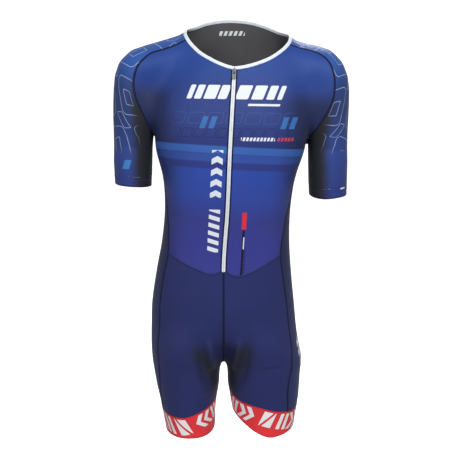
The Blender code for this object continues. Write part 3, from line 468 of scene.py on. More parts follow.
# %% Rings round the neck, the legs and the arms
NECK_AXIS = (-3.0, 5.0)
NECK_RING = Table(
    "bearing radius height",
    (-180, 109, 1), (-165, 110, -8.5), (-152, 109, -20.5), (-140, 103, -35.7), (-128, 99, -45.7),
    (-113, 96, -56.5), (-96, 94, -64.5), (-78, 94, -62), (-64, 97, -56), (-50, 101, -48.3),
    (-34, 105, -37), (-18, 110, -24), (0, 108, -14), (14, 106, -10.5), (28, 103, -4.5), (45, 93, 5.5),
    (60, 84, 12.5), (90, 76, 18), (120, 84, 17.5), (138, 95, 14), (152, 104, 8.5), (165, 107, 4.5),
    (180, 109, 1),
)
BAND_TOP_RIGHT = Table(
    "bearing height",
    (-180, -806), (-143, -813), (-117, -816), (-93, -815), (-75, -807), (-54, -799), (-20, -790),
    (0, -788), (45, -790), (90, -793), (135, -799), (180, -806),
)
BAND_LOW_RIGHT = Table(
    "bearing height",
    (-180, -861), (-140, -864), (-93, -865), (-50, -864), (-6, -859), (45, -853), (90, -852),
    (135, -856), (180, -861),
)
BAND_TOP_LEFT = Table(
    "bearing height",
    (-180, -773), (-156, -774), (-133, -782), (-112, -787), (-93, -793), (-76, -800), (-57, -806),
    (-35, -811), (0, -808), (45, -798), (90, -788), (135, -779), (180, -773),
)
BAND_LOW_LEFT = Table(
    "bearing height",
    (-180, -820), (-151, -823), (-124, -836), (-104, -851), (-84, -862), (-64, -861), (-40, -858),
    (0, -853), (45, -845), (90, -835), (135, -826), (180, -820),
)
CUFF_LOW_RIGHT = Table(
    "bearing height",
    (-180, -311), (-150, -311.5), (-100, -311.5), (-40, -316), (0, -318), (60, -312), (120, -306),
    (180, -311),
)
CUFF_LOW_LEFT = Table(
    "bearing height",
    (-180, -336), (-158, -337), (-100, -338), (-70, -336), (-38, -336), (0, -337), (60, -332),
    (120, -331), (180, -336),
)
BAND_RINGS = {
    "right": (BAND_TOP_RIGHT, BAND_LOW_RIGHT),
    "left": (BAND_TOP_LEFT, BAND_LOW_LEFT),
}
CUFF_RINGS = {"right": CUFF_LOW_RIGHT, "left": CUFF_LOW_LEFT}


def neck_points(bearings):
    """Points of the neckline, which runs over the shoulders as well as round them."""
    bearings = np.asarray(bearings, float)
    ways = level_ways(bearings) * NECK_RING.read("radius", bearings)[..., None]
    return settle(columns(*NECK_AXIS, NECK_RING.read("height", bearings)) + ways)


print("neck from front to back:", round(float(np.ptp(neck_points((-90, 90))[:, 1]))))

# %% [markdown]
# The other seams are noted as a tailor chalks them: places across and heights, seen squarely from the
# front, from behind or from the side. A ray then finds how deep each place lies, so the line stays right
# on a round body.

# %% Seams seen from the front or from behind
RAGLAN_FRONT_RIGHT = Table(
    "x z",
    (-136, -24), (-158, -31), (-176, -36), (-194, -49), (-205, -62), (-211, -77), (-214, -95),
    (-213, -112), (-208, -131), (-199, -152), (-189, -175), (-181, -200),
)
RAGLAN_FRONT_LEFT = Table(
    "x z",
    (123, -27), (141, -31), (158, -36), (173, -44), (185, -57), (192, -74), (195, -94), (194, -118),
    (188, -141), (175, -166), (161, -190), (150, -208),
)
RAGLAN_BACK_RIGHT = Table(
    "x z",
    (-112, -12), (-135, -20), (-158, -31), (-178, -45), (-193, -64), (-201, -88), (-204, -115),
    (-202, -140), (-196, -165), (-188, -188), (-182, -203),
)
RAGLAN_BACK_LEFT = Table(
    "x z",
    (108, -21), (125, -29), (143, -38), (160, -50), (173, -66), (180, -88), (182, -112), (179, -140),
    (170, -165), (158, -190), (151, -206),
)
RAGLAN_SEAMS = {
    "right": (RAGLAN_FRONT_RIGHT, RAGLAN_BACK_RIGHT),
    "left": (RAGLAN_FRONT_LEFT, RAGLAN_BACK_LEFT),
}
RAGLAN_BEARINGS = {"right": (-160, 150), "left": (-18, 30)}
ZIP_LINE = Table("z x", (-40, -8), (-66, -9.3), (-202, -17), (-348, -23), (-482, -31), (-500, -31))
ZIP_BEARING = -95.0
ZIP_END = -481.5
ZIP_SPLIT = -232.0
WAIST_RIGHT = Table("x z", (-122, -464), (-90, -477), (-57, -487.5), (-44, -485.5))
WAIST_LEFT = Table("x z", (58, -470), (27, -485), (2, -492), (-16, -488.5))
WAISTS = {"right": WAIST_RIGHT, "left": WAIST_LEFT}
WAIST_BACK = -440.0
WAIST_BACK_MIDDLE = -443.0
CENTRE_SEAM = -31.0
CROTCH_TURN = -690.0
CROTCH_Y = 4.0
BETWEEN_LEGS = -790.0
ARMPIT_X = {"right": -177.5, "left": 146.5}
ARMPIT_FRONT = -14.0
ARMPIT_BACK = 18.0
ARMPIT_CLEAR = 12.0
ARMPIT_CROWDING = 1.35
BESIDE_WAIST = -300.0
SIDE_SEAMS = Table(
    "height right left back",
    (-232, -17, -17, 22), (-270, -24, -25, 31), (-330, -38, -40, 43), (-392, -51, -54, 52),
    (-452, -58, -62, 58), (-520, -55, -57, 62), (-590, -56, -52, 65), (-640, -58, -55, 65),
    (-700, -60, -66, 62), (-760, -46, -67, 57),
)
WAIST_CORNERS = {"right": -452.0, "left": -457.0}
WAIST_CORNER_BACK = -448.0
BAND_CORNERS = {"right": (-148, 128), "left": (-52, 50)}
INSEAM_BEARINGS = {"right": 2.0, "left": 178.0}
print("raglan seams:", 2 * len(RAGLAN_SEAMS), "waist at the back:", WAIST_BACK)

# %% [markdown]
# Rays for a panel start from a line inside the body that looks squarely at the panel. Each of these
# upright lines is given by its place across and through.

# %% Lines that the panels are seen from
TORSO_CORE_FRONT = (-15.0, 25.0)
TORSO_CORE_BACK = (-15.0, -25.0)
SHORTS_CORES = {"right": (-100.0, 0.0), "left": (52.0, 0.0)}
SHORTS_FACING = {"right": -70.0, "left": -110.0}
LEG_AXES = {"right": (-108.0, 0.0), "left": (58.0, 2.0)}
ARM_AXES = {"right": (-221.0, -3.0), "left": (189.0, -3.0)}
print("upright lines:", 2 + 3 * len(LEG_AXES))

# %% [markdown]
# The plain model used the same seams with fewer points. Here each stretch of seam is cut five times
# finer, to about four millimetres, so that the cloth looks smooth and can carry soft folds.

# %% How finely the cloth is laid out
FINE = 5
FLAT_COLUMNS = 9 * FINE
SIDE_COLUMNS = 6 * FINE
BACK_COLUMNS = 16 * FINE
SLEEVE_COLUMNS = 18 * FINE
RAGLAN_ROWS = 11 * FINE
TORSO_ROWS = 13 * FINE
UNDERARM_ROWS = 5 * FINE
SHORTS_ROWS = 18 * FINE
CROTCH_ROWS = 13 * FINE
BAND_ROWS = 3 * FINE
CUFF_ROWS = FINE
CUFF_HEIGHT = 21.0
ZIP_WIDTH = 9.5
print("cells down one side:", TORSO_ROWS + SHORTS_ROWS)

# %% [markdown]
# ## Flat charts for curved panels
#
# A panel is easiest to fill with points on a flat chart. One chart gives each point of the trunk and
# legs its bearing and height, and another follows a sleeve round the shoulder. Both can be read from a
# point and can place a point, so nothing is lost on the way there and back.

# %% A chart for trunk and legs
class RayChart:
    """Bearing and height round an upright line inside the body."""

    def __init__(self, axis, facing):
        self.axis = axis
        self.facing = facing

    def read(self, points):
        angle = np.degrees(np.arctan2(points[..., 1] - self.axis[1], points[..., 0] - self.axis[0]))
        turn = (angle - self.facing + 180) % 360 - 180
        return np.stack([turn, points[..., 2]], -1)

    def place(self, chart):
        start = columns(*self.axis, chart[..., 1])
        return cast(start, level_ways(chart[..., 0] + self.facing))


chest = RayChart(TORSO_CORE_FRONT, -90.0)
print("the chest's middle on its chart:", chest.read(front_points(-15, -100)).round(1))

# %% [markdown]
# A sleeve's chart follows its bent line. To read a point, the step along the line is found first, by
# halving, and then the turn round it. To place a point, a ray goes out from the line at that turn.

# %% A chart for sleeves
NEAR = 0.05  # the short part of a step that the line's direction is measured over
STEP_HALVINGS = 30


class SleeveChart:
    """Turn and step round the bent line inside a sleeve. A turn of 0 is the shoulder's outside."""

    def __init__(self, table, side):
        self.table = table
        self.last = table.rows[-1, 0]
        self.sign = 1 if side == "left" else -1

    def centre(self, step):
        return columns(*[self.table.read(name, step) for name in ("x", "y", "z")])

    def frame(self, step):
        """The core's place at a step, the way along it, and the way to the shoulder's outside."""
        step = np.clip(step, NEAR, self.last - NEAR)
        along = unit((self.centre(step + NEAR) - self.centre(step - NEAR)) * (1, 0, 1))
        outer = columns(-along[..., 2], 0, along[..., 0]) * self.sign
        return self.centre(step), along, outer

    def read(self, points):
        low = np.zeros(points.shape[:-1])
        high = np.full(points.shape[:-1], self.last)
        for _ in range(STEP_HALVINGS):
            middle = (low + high) / 2
            centre, along, _ = self.frame(middle)
            beyond = ((points - centre) * along).sum(-1) > 0
            low = np.where(beyond, middle, low)
            high = np.where(beyond, high, middle)
        centre, _, outer = self.frame(low)
        off = points - centre
        turn = np.degrees(np.arctan2(-off[..., 1], (off * outer).sum(-1)))
        return np.stack([turn, low], -1)

    def place(self, chart):
        centre, _, outer = self.frame(chart[..., 1])
        angle = np.radians(chart[..., 0])[..., None]
        return cast(centre, outer * np.cos(angle) + np.array([0, -1, 0]) * np.sin(angle))


shoulder = SleeveChart(SLEEVE_CORE_RIGHT, "right").place(np.array([0.0, 3.0]))
print("outside of the right sleeve at step 3:", shoulder.round(1))

# %% [markdown]
# ## A grid between four seams
#
# The seams are the edges of a panel. Between them the points are blended from all four edges, which is
# known as a Coons patch, and then evened out. Blender's grid fill does something alike by hand.

# %% A grid of points between four seams
def relax(grid, rounds=12):
    """Evens out the spacing inside a grid whose edges stay."""
    grid = grid.copy()
    for _ in range(rounds):
        middle = grid[:-2, 1:-1] + grid[2:, 1:-1] + grid[1:-1, :-2] + grid[1:-1, 2:]
        grid[1:-1, 1:-1] = settle(middle / 4, 2)
    return grid


def patch(chart, top, bottom, first, last, fix=None):
    """A grid of points on the shape between four seams. Rows run from top to bottom."""
    edges = [chart.read(line) for line in (top, bottom, first, last)]
    if fix is not None:
        edges = fix(*edges)
    top_flat, low_flat, first_flat, last_flat = edges
    u = np.linspace(0, 1, len(top_flat))[None, :, None]
    v = np.linspace(0, 1, len(first_flat))[:, None, None]
    flat = (1 - v) * top_flat[None] + v * low_flat[None]
    flat = flat + (1 - u) * first_flat[:, None] + u * last_flat[:, None]
    flat = flat - (1 - v) * ((1 - u) * top_flat[0] + u * top_flat[-1])
    flat = flat - v * ((1 - u) * low_flat[0] + u * low_flat[-1])
    grid = chart.place(flat)
    grid[0] = top
    grid[-1] = bottom
    grid[:, 0] = first
    grid[:, -1] = last
    return grid


across = [front_points(np.linspace(-60, 20, 5), np.full(5, z)) for z in (-260, -320)]
down = [front_points(np.full(4, x), np.linspace(-260, -320, 4)) for x in (-60, 20)]
sample = relax(patch(chest, *across, *down))
print("a small patch of the chest:", sample.shape[:2], "points")

# %% [markdown]
# Two panels that shared one edge would melt into each other. Sewn edges lie close but stay apart, so
# half of a narrow gap is taken off each edge, along the cloth and square to the seam.

# %% Seam gaps
def edge_gap(edge, inner, out):
    """Half of the seam gap along the shape, from an edge towards the next line of its grid."""
    along = unit(np.gradient(edge, axis=0))
    way = inner - edge
    way -= (way * out).sum(1, keepdims=True) * out
    way -= (way * along).sum(1, keepdims=True) * along
    return GAP / 2 * unit(way)


def inset(grid, out, closed=False):
    """The grid with half of the seam gap taken off each edge."""
    moves = np.zeros_like(grid)
    moves[0] += edge_gap(grid[0], grid[1], out[0])
    moves[-1] += edge_gap(grid[-1], grid[-2], out[-1])
    if not closed:
        moves[:, 0] += edge_gap(grid[:, 0], grid[:, 1], out[:, 0])
        moves[:, -1] += edge_gap(grid[:, -1], grid[:, -2], out[:, -1])
    return grid + moves


print("each edge gives up:", GAP / 2)

# %% [markdown]
# ## Sewing lines
#
# Every panel shares its edges with its neighbours. Each line is made once here and used by both, so the
# two pieces of cloth meet exactly. The longest ones are the zip, the side seams, and the seam that runs
# from the waist under the crotch and down the inner leg.

# %% Long seams
def turns(start, end, count=60):
    """Bearings from one to another, as numbers from -180 to 180."""
    return (np.linspace(start, end, count) + 180) % 360 - 180


def zip_line(across=0.0):
    """Points down the zip, or down a line beside it."""
    z = np.linspace(NECK_RING.read("height", ZIP_BEARING), ZIP_END, 90)
    return front_points(ZIP_LINE.read("x", z) + across, z)


def side_seam(side, face, top, low):
    """One long seam of a side panel, in its torso part and its shorts part."""
    column = "back" if face == "back" else side
    middle = WAIST_CORNER_BACK if face == "back" else WAIST_CORNERS[side]
    places = list(zip(SIDE_SEAMS.column(column), SIDE_SEAMS.column("height")))
    path = smooth_line([(top[1], top[2])] + places + [(low[1], low[2])], 200)
    path = path[path[:, 1] < top[2] - ARMPIT_CLEAR]
    line = side_points(LEG_AXES[side][0], path[:, 0], path[:, 1], side)
    line = np.concatenate([top[None], line[:-1], low[None]])
    split = np.argmin(np.abs(line[:, 2] - middle))
    torso = seam(line[:split + 1], TORSO_ROWS, ARMPIT_CROWDING)
    return torso, seam(line[split:], SHORTS_ROWS)


def centre_seam(start, face, foot, side):
    """The seam from the waist under the crotch, then down one inner leg to its band."""
    cast_from = front_points if face == "front" else back_points
    line = cast_from(CENTRE_SEAM, np.linspace(start[2], CROTCH_TURN, 60))
    line[0] = start
    under = under_points(CENTRE_SEAM, np.linspace(line[-1][1], CROTCH_Y, 24), BETWEEN_LEGS)
    height = np.linspace(under[-1][2], foot[2], 40)
    depth = np.linspace(CROTCH_Y, foot[1], 40)
    inner = side_points(LEG_AXES[side][0], depth, height, "left" if side == "right" else "right")
    inner[0] = under[-1]
    inner[-1] = foot
    return join(seam(join(line, under), CROTCH_ROWS), seam(inner, SHORTS_ROWS - CROTCH_ROWS))


print("zip length:", round(float(lengths(zip_line())[-1])))

# %% [markdown]
# The two halves are cut alike, but they hang a little differently on a leaning body. So one class sews
# the lines of either half from its own measures.

# %% The seams of one half
class Half:
    """The seams of one half of the suit, each one a line of points on the shape."""

    def __init__(self, side):
        self.side = side
        self.right = side == "right"
        self.sign = -1 if self.right else 1
        self.round = -360 if self.right else 0
        self.leg = LEG_AXES[side]
        self.arm = ARM_AXES[side]
        self.band_rings = BAND_RINGS[side]
        self.sew_armhole()
        self.sew_side()
        self.sew_front()
        self.sew_shorts()
        self.sew_sleeve()

    def sew_armhole(self):
        """The raglan seams from the neck to the armpit, and the side panel's edge between them."""
        front_table, back_table = RAGLAN_SEAMS[self.side]
        neck_front, neck_back = neck_points(RAGLAN_BEARINGS[self.side])
        depth = np.linspace(ARMPIT_FRONT, ARMPIT_BACK, SIDE_COLUMNS + 1)
        self.roof = under_points(ARMPIT_X[self.side], depth, BESIDE_WAIST)
        front = cast_line(front_points, neck_front, front_table.rows)
        back = cast_line(back_points, neck_back, back_table.rows)
        self.front = seam(np.concatenate([front, self.roof[:1]]), RAGLAN_ROWS)
        self.back = seam(np.concatenate([back, self.roof[-1:]]), RAGLAN_ROWS)

    def sew_side(self):
        """Both long seams of the side panel, and its low edge on the leg band."""
        start, end = BAND_CORNERS[self.side]
        self.band_side = self.band_edge(start, end + self.round, SIDE_COLUMNS)
        self.side_front = side_seam(self.side, "front", self.roof[0], self.band_side[0])
        self.side_back = side_seam(self.side, "back", self.roof[-1], self.band_side[-1])

    def sew_front(self):
        """The front panel's edges along the zip, the neck and the waist."""
        edge = zip_line(self.sign * (ZIP_WIDTH + GAP) / 2)
        split = np.argmin(np.abs(edge[:, 2] - ZIP_SPLIT))
        self.zip_edge = join(seam(edge[:split + 1], RAGLAN_ROWS), seam(edge[split:], TORSO_ROWS))
        corner = edge[0] - (*NECK_AXIS, 0)
        bearing = math.degrees(math.atan2(corner[1], corner[0]))
        neck = neck_points(turns(RAGLAN_BEARINGS[self.side][0], bearing))
        neck[-1] = edge[0]
        self.neck_front = seam(neck, FLAT_COLUMNS)
        places = [*WAISTS[self.side].rows, (edge[-1][0], edge[-1][2])]
        waist = cast_line(front_points, self.side_front[0][-1], places)
        waist[-1] = edge[-1]
        self.waist_front = seam(waist, FLAT_COLUMNS)

    def sew_shorts(self):
        """The edges of the shorts: waist, centre and inner leg, and the tops of the leg band."""
        notch = front_points(np.array([CENTRE_SEAM]), np.array([ZIP_END]))
        back_notch = back_points(np.array([CENTRE_SEAM]), np.array([WAIST_BACK]))
        corner = self.side_back[0][-1]
        middle = ((corner[0] + CENTRE_SEAM) / 2, WAIST_BACK_MIDDLE)
        waist = cast_line(back_points, corner, [middle, (CENTRE_SEAM, WAIST_BACK)])
        self.waist_back = seam(waist, BACK_COLUMNS // 2)
        notch_line = seam(np.concatenate([self.waist_front[-1:], notch]), FINE)
        self.shorts_top = join(self.waist_front, notch_line)
        bearing = INSEAM_BEARINGS[self.side]
        foot = ring_points(self.band_rings[0], self.leg, np.array([bearing]))[0]
        self.centre_front = centre_seam(notch[0], "front", foot, self.side)
        self.centre_back = centre_seam(back_notch[0], "back", foot, self.side)
        front, back = BAND_CORNERS[self.side]
        front_end = bearing - (0 if self.right else 360)
        self.band_front = self.band_edge(front, front_end, len(self.shorts_top) - 1)
        self.band_back = self.band_edge(back, bearing, BACK_COLUMNS // 2)

    def band_edge(self, start, end, segments):
        """The leg band's top edge from one bearing to another."""
        return seam(ring_points(self.band_rings[0], self.leg, turns(start, end)), segments)

    def sew_sleeve(self):
        """The sleeve's edges at the neck, under the arm and at the cuff."""
        around = turns(0 if self.right else 180, self.round or 540, 120)
        height = CUFF_RINGS[self.side].read("height", around) + CUFF_HEIGHT
        ring = cast(columns(*self.arm, height), level_ways(around))
        self.cuff_top = seam(ring, SLEEVE_COLUMNS)
        top = self.roof[SIDE_COLUMNS // 2]
        low = self.cuff_top[0]
        height = np.linspace(top[2] - ARMPIT_CLEAR, low[2], 40)
        depth = np.linspace(top[1], low[1], 40)
        under = side_points(self.arm[0], depth, height, "left" if self.right else "right")
        self.under = seam(np.concatenate([top[None], under[:-1], low[None]]), UNDERARM_ROWS)
        start, end = RAGLAN_BEARINGS[self.side]
        self.neck_sleeve = seam(neck_points(turns(start, end + self.round)), SLEEVE_COLUMNS)


halves = [Half(side) for side in ("right", "left")]
right, left = halves
for half in halves:
    print(half.side, "raglan seam:", round(float(lengths(half.front)[-1])),
          "side seam:", round(float(lengths(join(*half.side_front))[-1])))

# %% [markdown]
# Cuffs and leg bands are short tubes. Each starts on the ring where it is sewn on and ends at its hem.
# A sleeve is one piece that closes under the arm, so its turns have to run on past the half turn there.

# %% Tubes and sleeves
def tube(axis, top, low_ring, rows):
    """Rows of points round an upright axis, from a ring of points down to a ring table."""
    bearings = np.degrees(np.arctan2(top[:, 1] - axis[1], top[:, 0] - axis[0]))
    share = np.linspace(0, 1, rows + 1)[:, None]
    height = top[:, 2] * (1 - share) + low_ring.read("height", bearings) * share
    grid = cast(columns(*axis, height), level_ways(bearings))
    grid[0] = top
    return grid


def turn_under_arm(top, bottom, first, last):
    """Makes the turns of a sleeve's edges run on past the half turn under the arm."""
    start = RAGLAN_ROWS + 1
    first[start:, 0] %= 360
    last[start:, 0] = last[start:, 0] % 360 - 360
    bottom[:, 0] = np.unwrap(bottom[:, 0], period=360)
    bottom[:, 0] += first[-1, 0] - bottom[0, 0]
    return top, bottom, first, last


cuff = tube(right.arm, right.cuff_top[:-1], CUFF_RINGS["right"], CUFF_ROWS)
print("the right cuff:", cuff.shape[0], "rings of", cuff.shape[1], "points")

# %% [markdown]
# ## From a coarse grid to cloth
#
# A panel is first laid out coarsely and evened, as a cutter smooths a piece with the flat of the hand.
# Smooth curves then put more points between, and the edges are pulled onto the seams. Blender's
# subdivision could smooth a cage too, but it would pull the edges away from the seams.

# %% More rows and columns
def densify(grid, steps):
    """More rows between the rows of a grid, on smooth curves through them."""
    slope = np.gradient(grid, axis=0)
    t = (np.arange(steps) / steps).reshape(1, steps, *([1] * (grid.ndim - 1)))
    start, end = grid[:-1, None], grid[1:, None]
    leave, reach = slope[:-1, None], slope[1:, None]
    rows = (1 + 2 * t) * (1 - t) ** 2 * start + t * (1 - t) ** 2 * leave
    rows = rows + t ** 2 * (3 - 2 * t) * end + t ** 2 * (t - 1) * reach
    return np.concatenate([rows.reshape(-1, *grid.shape[1:]), grid[-1:]])


def panel_grid(chart, top, bottom, first, last):
    """A fine, even grid on the shape between four fine seams."""
    coarse = relax(patch(chart, top[::FINE], bottom[::FINE], first[::FINE], last[::FINE]))
    grid = densify(densify(coarse, FINE).swapaxes(0, 1), FINE).swapaxes(0, 1)
    v = np.linspace(0, 1, len(grid))[:, None, None]
    u = np.linspace(0, 1, grid.shape[1])[None, :, None]
    grid = grid + (1 - v) * (top - grid[0])[None] + v * (bottom - grid[-1])[None]
    grid = grid + (1 - u) * (first - grid[:, 0])[:, None] + u * (last - grid[:, -1])[:, None]
    grid[1:-1, 1:-1] = settle(grid[1:-1, 1:-1], 2)
    return grid


print("4 rows become:", len(densify(np.zeros((4, 3)), FINE)))

# %% [markdown]
# Stretched cloth does not follow the sharp hollow between an arm and the trunk. It spans it. So the
# points near each hollow are drawn towards the middle of their neighbours, again and again.

# %% Cloth over the hollows beside the arms
HOLLOWS = ((-176, -122), (146, -122))
HOLLOW_HALF = (26, 66)
HOLLOW_ROUNDS = 36


def span_hollows(grid):
    """Lets a panel span the hollows between arms and trunk. Its edges stay on the seams."""
    grid = grid.copy()
    half_width, half_height = HOLLOW_HALF
    for _ in range(HOLLOW_ROUNDS):
        inside = grid[1:-1, 1:-1]
        near = 0
        for x, z in HOLLOWS:
            off = ((inside[..., 0] - x) / half_width) ** 4 + ((inside[..., 2] - z) / half_height) ** 4
            near = near + np.exp(-off)
        middle = (grid[:-2, 1:-1] + grid[2:, 1:-1] + grid[1:-1, :-2] + grid[1:-1, 2:]) / 4
        grid[1:-1, 1:-1] = inside + (middle - inside) * 0.5 * near[..., None]
    return grid


print("hollows:", len(HOLLOWS), "rounds:", HOLLOW_ROUNDS)

# %% [markdown]
# ## Folds
#
# Worn stretch cloth is smooth, with a few soft folds where the body bends: at the crotch, under the
# seat, at the small of the back and under the arms. A cloth simulation would find folds of its own, but
# not in chosen places. Here each row is one fold, from one place to another, seen from the front (-1) or
# from behind (1). A plus height is a ridge and a minus one is a trough.

# %% Folds
FOLDS = Table(
    "x z x_end z_end width height face",
    (-62, -628, -55, -718, 7, 12.0, -1),
    (4, -628, -6, -720, 7, 12.0, -1),
    (-86, -612, -62, -762, 12, -8.5, -1),
    (26, -612, 0, -762, 12, -8.5, -1),
    (-29, -640, -29, -690, 9, -2.5, -1),
    (48, -702, 98, -697, 4, -1.6, -1),
    (44, -692, 96, -688, 6, 1.2, -1),
    (-168, -196, -122, -162, 6, -1.4, -1),
    (-160, -214, -118, -190, 5, 1.1, -1),
    (140, -200, 100, -166, 6, -1.4, -1),
    (134, -220, 94, -196, 5, 1.0, -1),
    (-148, -372, -112, -366, 6, -1.2, -1),
    (104, -380, 70, -372, 6, -1.2, -1),
    (-205, -232, -240, -222, 5, -1.3, -1),
    (204, -240, 176, -228, 5, -1.2, -1),
    (-112, -392, 62, -384, 10, -2.4, 1),
    (-104, -370, 40, -362, 9, 1.8, 1),
    (-84, -414, 56, -424, 9, 1.8, 1),
    (-66, -344, 70, -350, 8, -1.6, 1),
    (-150, -205, -104, -160, 8, -2.2, 1),
    (-160, -226, -112, -196, 6, 1.6, 1),
    (128, -206, 84, -160, 8, -2.2, 1),
    (128, -230, 84, -200, 6, 1.5, 1),
    (-150, -716, -58, -700, 9, -3.4, 1),
    (104, -718, -4, -700, 9, -3.4, 1),
    (-140, -742, -64, -730, 7, 2.0, 1),
    (96, -744, 2, -730, 7, 2.0, 1),
    (-200, -236, -240, -226, 6, -1.8, 1),
    (206, -242, 170, -232, 6, -1.7, 1),
)
FOLD_TAPER = 1.3
TURN_DEPTH = 30.0  # over this depth a fold fades where the cloth turns to the side


def folds(points):
    """How far the cloth stands out from the smooth shape. A fold rises and dies away along its length."""
    flat = points[..., [0, 2]]
    total = np.zeros(flat.shape[:-1])
    for x, z, x_end, z_end, width, height, face in FOLDS.rows:
        start = np.array([x, z])
        along = np.array([x_end, z_end]) - start
        t = np.clip((flat - start) @ along / (along @ along), 0, 1)
        off = np.linalg.norm(flat - start - t[..., None] * along, axis=-1)
        facing = np.clip(face * points[..., 1] / TURN_DEPTH + 0.2, 0, 1)
        total += height * np.exp(-(off / width) ** 2) * (4 * t * (1 - t)) ** FOLD_TAPER * facing
    return total


print("folds placed:", len(FOLDS.rows), "highest:", FOLDS.column("height").max())

# %% [markdown]
# ## Nodes written as arithmetic
#
# A print is a rule: here the cloth is white, there it is blue. Blender writes such rules as Math nodes.
# A painted picture could do it too, but it would blur when it is seen close up. This small class lets a
# rule be written with ordinary signs, and makes the nodes from them.

# %% A number that varies over the cloth
class Field:
    """A node's output that is used like a number. Each sign or call adds one node."""

    def __init__(self, tree, socket):
        self.tree = tree
        self.socket = socket

    def math(self, kind, *others):
        node = self.tree.nodes.new("ShaderNodeMath")
        node.operation = kind
        self.tree.links.new(self.socket, node.inputs[0])
        for place, other in enumerate(others, 1):
            if isinstance(other, Field):
                self.tree.links.new(other.socket, node.inputs[place])
            else:
                node.inputs[place].default_value = other
        return Field(self.tree, node.outputs[0])

    def __add__(self, other):
        return self.math("ADD", other)

    def __sub__(self, other):
        return self.math("SUBTRACT", other)

    def __mul__(self, other):
        return self.math("MULTIPLY", other)

    def __abs__(self):
        return self.math("ABSOLUTE")

    def wrap(self, period):
        """The same number again and again, from minus half a period to plus half a period."""
        return self.math("WRAP", period / 2, -period / 2)

    def most(self, other):
        return self.math("MAXIMUM", other)

    def least(self, other):
        return self.math("MINIMUM", other)

    def wave(self, period):
        """A smooth wave from -1 to 1 that repeats after each period."""
        return (self * (2 * math.pi / period)).math("COSINE")

    def rise(self, zero, one):
        """0 on one side, 1 on the other, and a soft step between the two given values."""
        node = self.tree.nodes.new("ShaderNodeMapRange")
        node.interpolation_type = "SMOOTHSTEP"
        self.tree.links.new(self.socket, node.inputs["Value"])
        node.inputs["From Min"].default_value = min(zero, one)
        node.inputs["From Max"].default_value = max(zero, one)
        node.inputs["To Min"].default_value = 0.0 if zero < one else 1.0
        node.inputs["To Max"].default_value = 1.0 if zero < one else 0.0
        return Field(self.tree, node.outputs["Result"])

    def within(self, low, high, soft=0.5):
        """1 between two values."""
        return self.rise(low - soft, low + soft) * self.rise(high + soft, high - soft)


print("ways to change a field:", [name for name in vars(Field) if not name.startswith("_")])

# %% [markdown]
# Printed motifs are plain shapes with crisp edges. The distance to a box says how far its edge is. A very
# short rise from 0 to 1 at that edge keeps the print sharp, and keeps it from looking like stairs. The
# same distance gives a filled bar or a thin outline.

# %% Bars and outlines
EDGE = 0.35  # half of the soft line at the edge of a print


def box_gap(x, z, centre, half, slant=0.0, corner=0.0):
    """Distance to a leaning box with rounded corners, below 0 inside it."""
    across = abs(x - centre[0] - (z - centre[1]) * slant) - (half[0] - corner)
    down = abs(z - centre[1]) - (half[1] - corner)
    outside = across.most(0.0).math("POWER", 2.0) + down.most(0.0).math("POWER", 2.0)
    return outside.math("SQRT") + across.most(down).least(0.0) - corner


def bar(x, z, centre, half, slant=0.0, corner=1.0):
    """1 inside a leaning bar with slightly rounded corners."""
    return box_gap(x, z, centre, half, slant, corner).rise(EDGE, -EDGE)


def outline(gap, half_width):
    """1 on a thin line where a distance is 0."""
    return abs(gap).rise(half_width + EDGE, half_width - EDGE)


def bands(field, period, half):
    """1 in even bands that come back after each period."""
    return abs(field.wrap(period)).rise(half + 0.3, half - 0.3)


def axes(tree, socket):
    """The parts of a place, each one a field in millimetres."""
    split = tree.nodes.new("ShaderNodeSeparateXYZ")
    tree.links.new(socket, split.inputs[0])
    return [Field(tree, part) * 1000.0 for part in split.outputs]


def places(tree):
    """The place on the suit: across, through and up."""
    return axes(tree, tree.nodes.new("ShaderNodeTexCoord").outputs["Object"])


def cloth_places(tree):
    """The place on the flat cloth: across and along."""
    node = tree.nodes.new("ShaderNodeUVMap")
    node.uv_map = "cloth"
    return axes(tree, node.outputs[0])[:2]


print("soft line at a print's edge:", 2 * EDGE)

# %% [markdown]
# A dye is easiest to note as three screen numbers from 0 to 255. Blender works with the light that a
# surface gives back, so one is turned into the other. Dyes then change along a ramp, or lie over each
# other like layers of print.

# %% Colours
def dye(red, green, blue):
    """A colour in screen numbers, as the light that it gives back."""
    light = np.array([red, green, blue]) / 255
    light = np.where(light <= 0.04045, light / 12.92, ((light + 0.055) / 1.055) ** 2.4)
    return (*[float(part) for part in light], 1.0)


def ramp(tree, field, stops):
    """A colour that changes with a field. Each stop is a value of the field and its dye."""
    node = tree.nodes.new("ShaderNodeValToRGB")
    low, high = stops[0][0], stops[-1][0]
    share = (field - low) * (1 / (high - low))
    tree.links.new(share.socket, node.inputs[0])
    points = node.color_ramp.elements
    while len(points) < len(stops):
        points.new(1.0)
    for point, (value, colour) in zip(points, stops):
        point.position = (value - low) / (high - low)
        point.color = dye(*colour)
    return node.outputs["Color"]


def printed(tree, under, mask, colour):
    """The colour under a print, and the print's own dye where its mask is 1."""
    node = tree.nodes.new("ShaderNodeMix")
    node.data_type = "RGBA"
    tree.links.new(mask.socket, node.inputs["Factor"])
    tree.links.new(under, node.inputs[6])
    node.inputs[7].default_value = dye(*colour)
    return node.outputs[2]


def noise(tree, size):
    """Slow random changes, from 0 to 1, about as wide as the given millimetres."""
    coordinates = tree.nodes.new("ShaderNodeTexCoord")
    node = tree.nodes.new("ShaderNodeTexNoise")
    node.inputs["Scale"].default_value = 1000.0 / size
    node.inputs["Detail"].default_value = 2.0
    tree.links.new(coordinates.outputs["Object"], node.inputs["Vector"])
    return Field(tree, node.outputs["Fac"])


def two_tones(tree, size, one, other):
    """Two close shades, mixed by a slow noise."""
    return ramp(tree, noise(tree, size), [(0.3, one), (0.7, other)])


print("light from a middle grey:", round(dye(128, 128, 128)[0], 3))

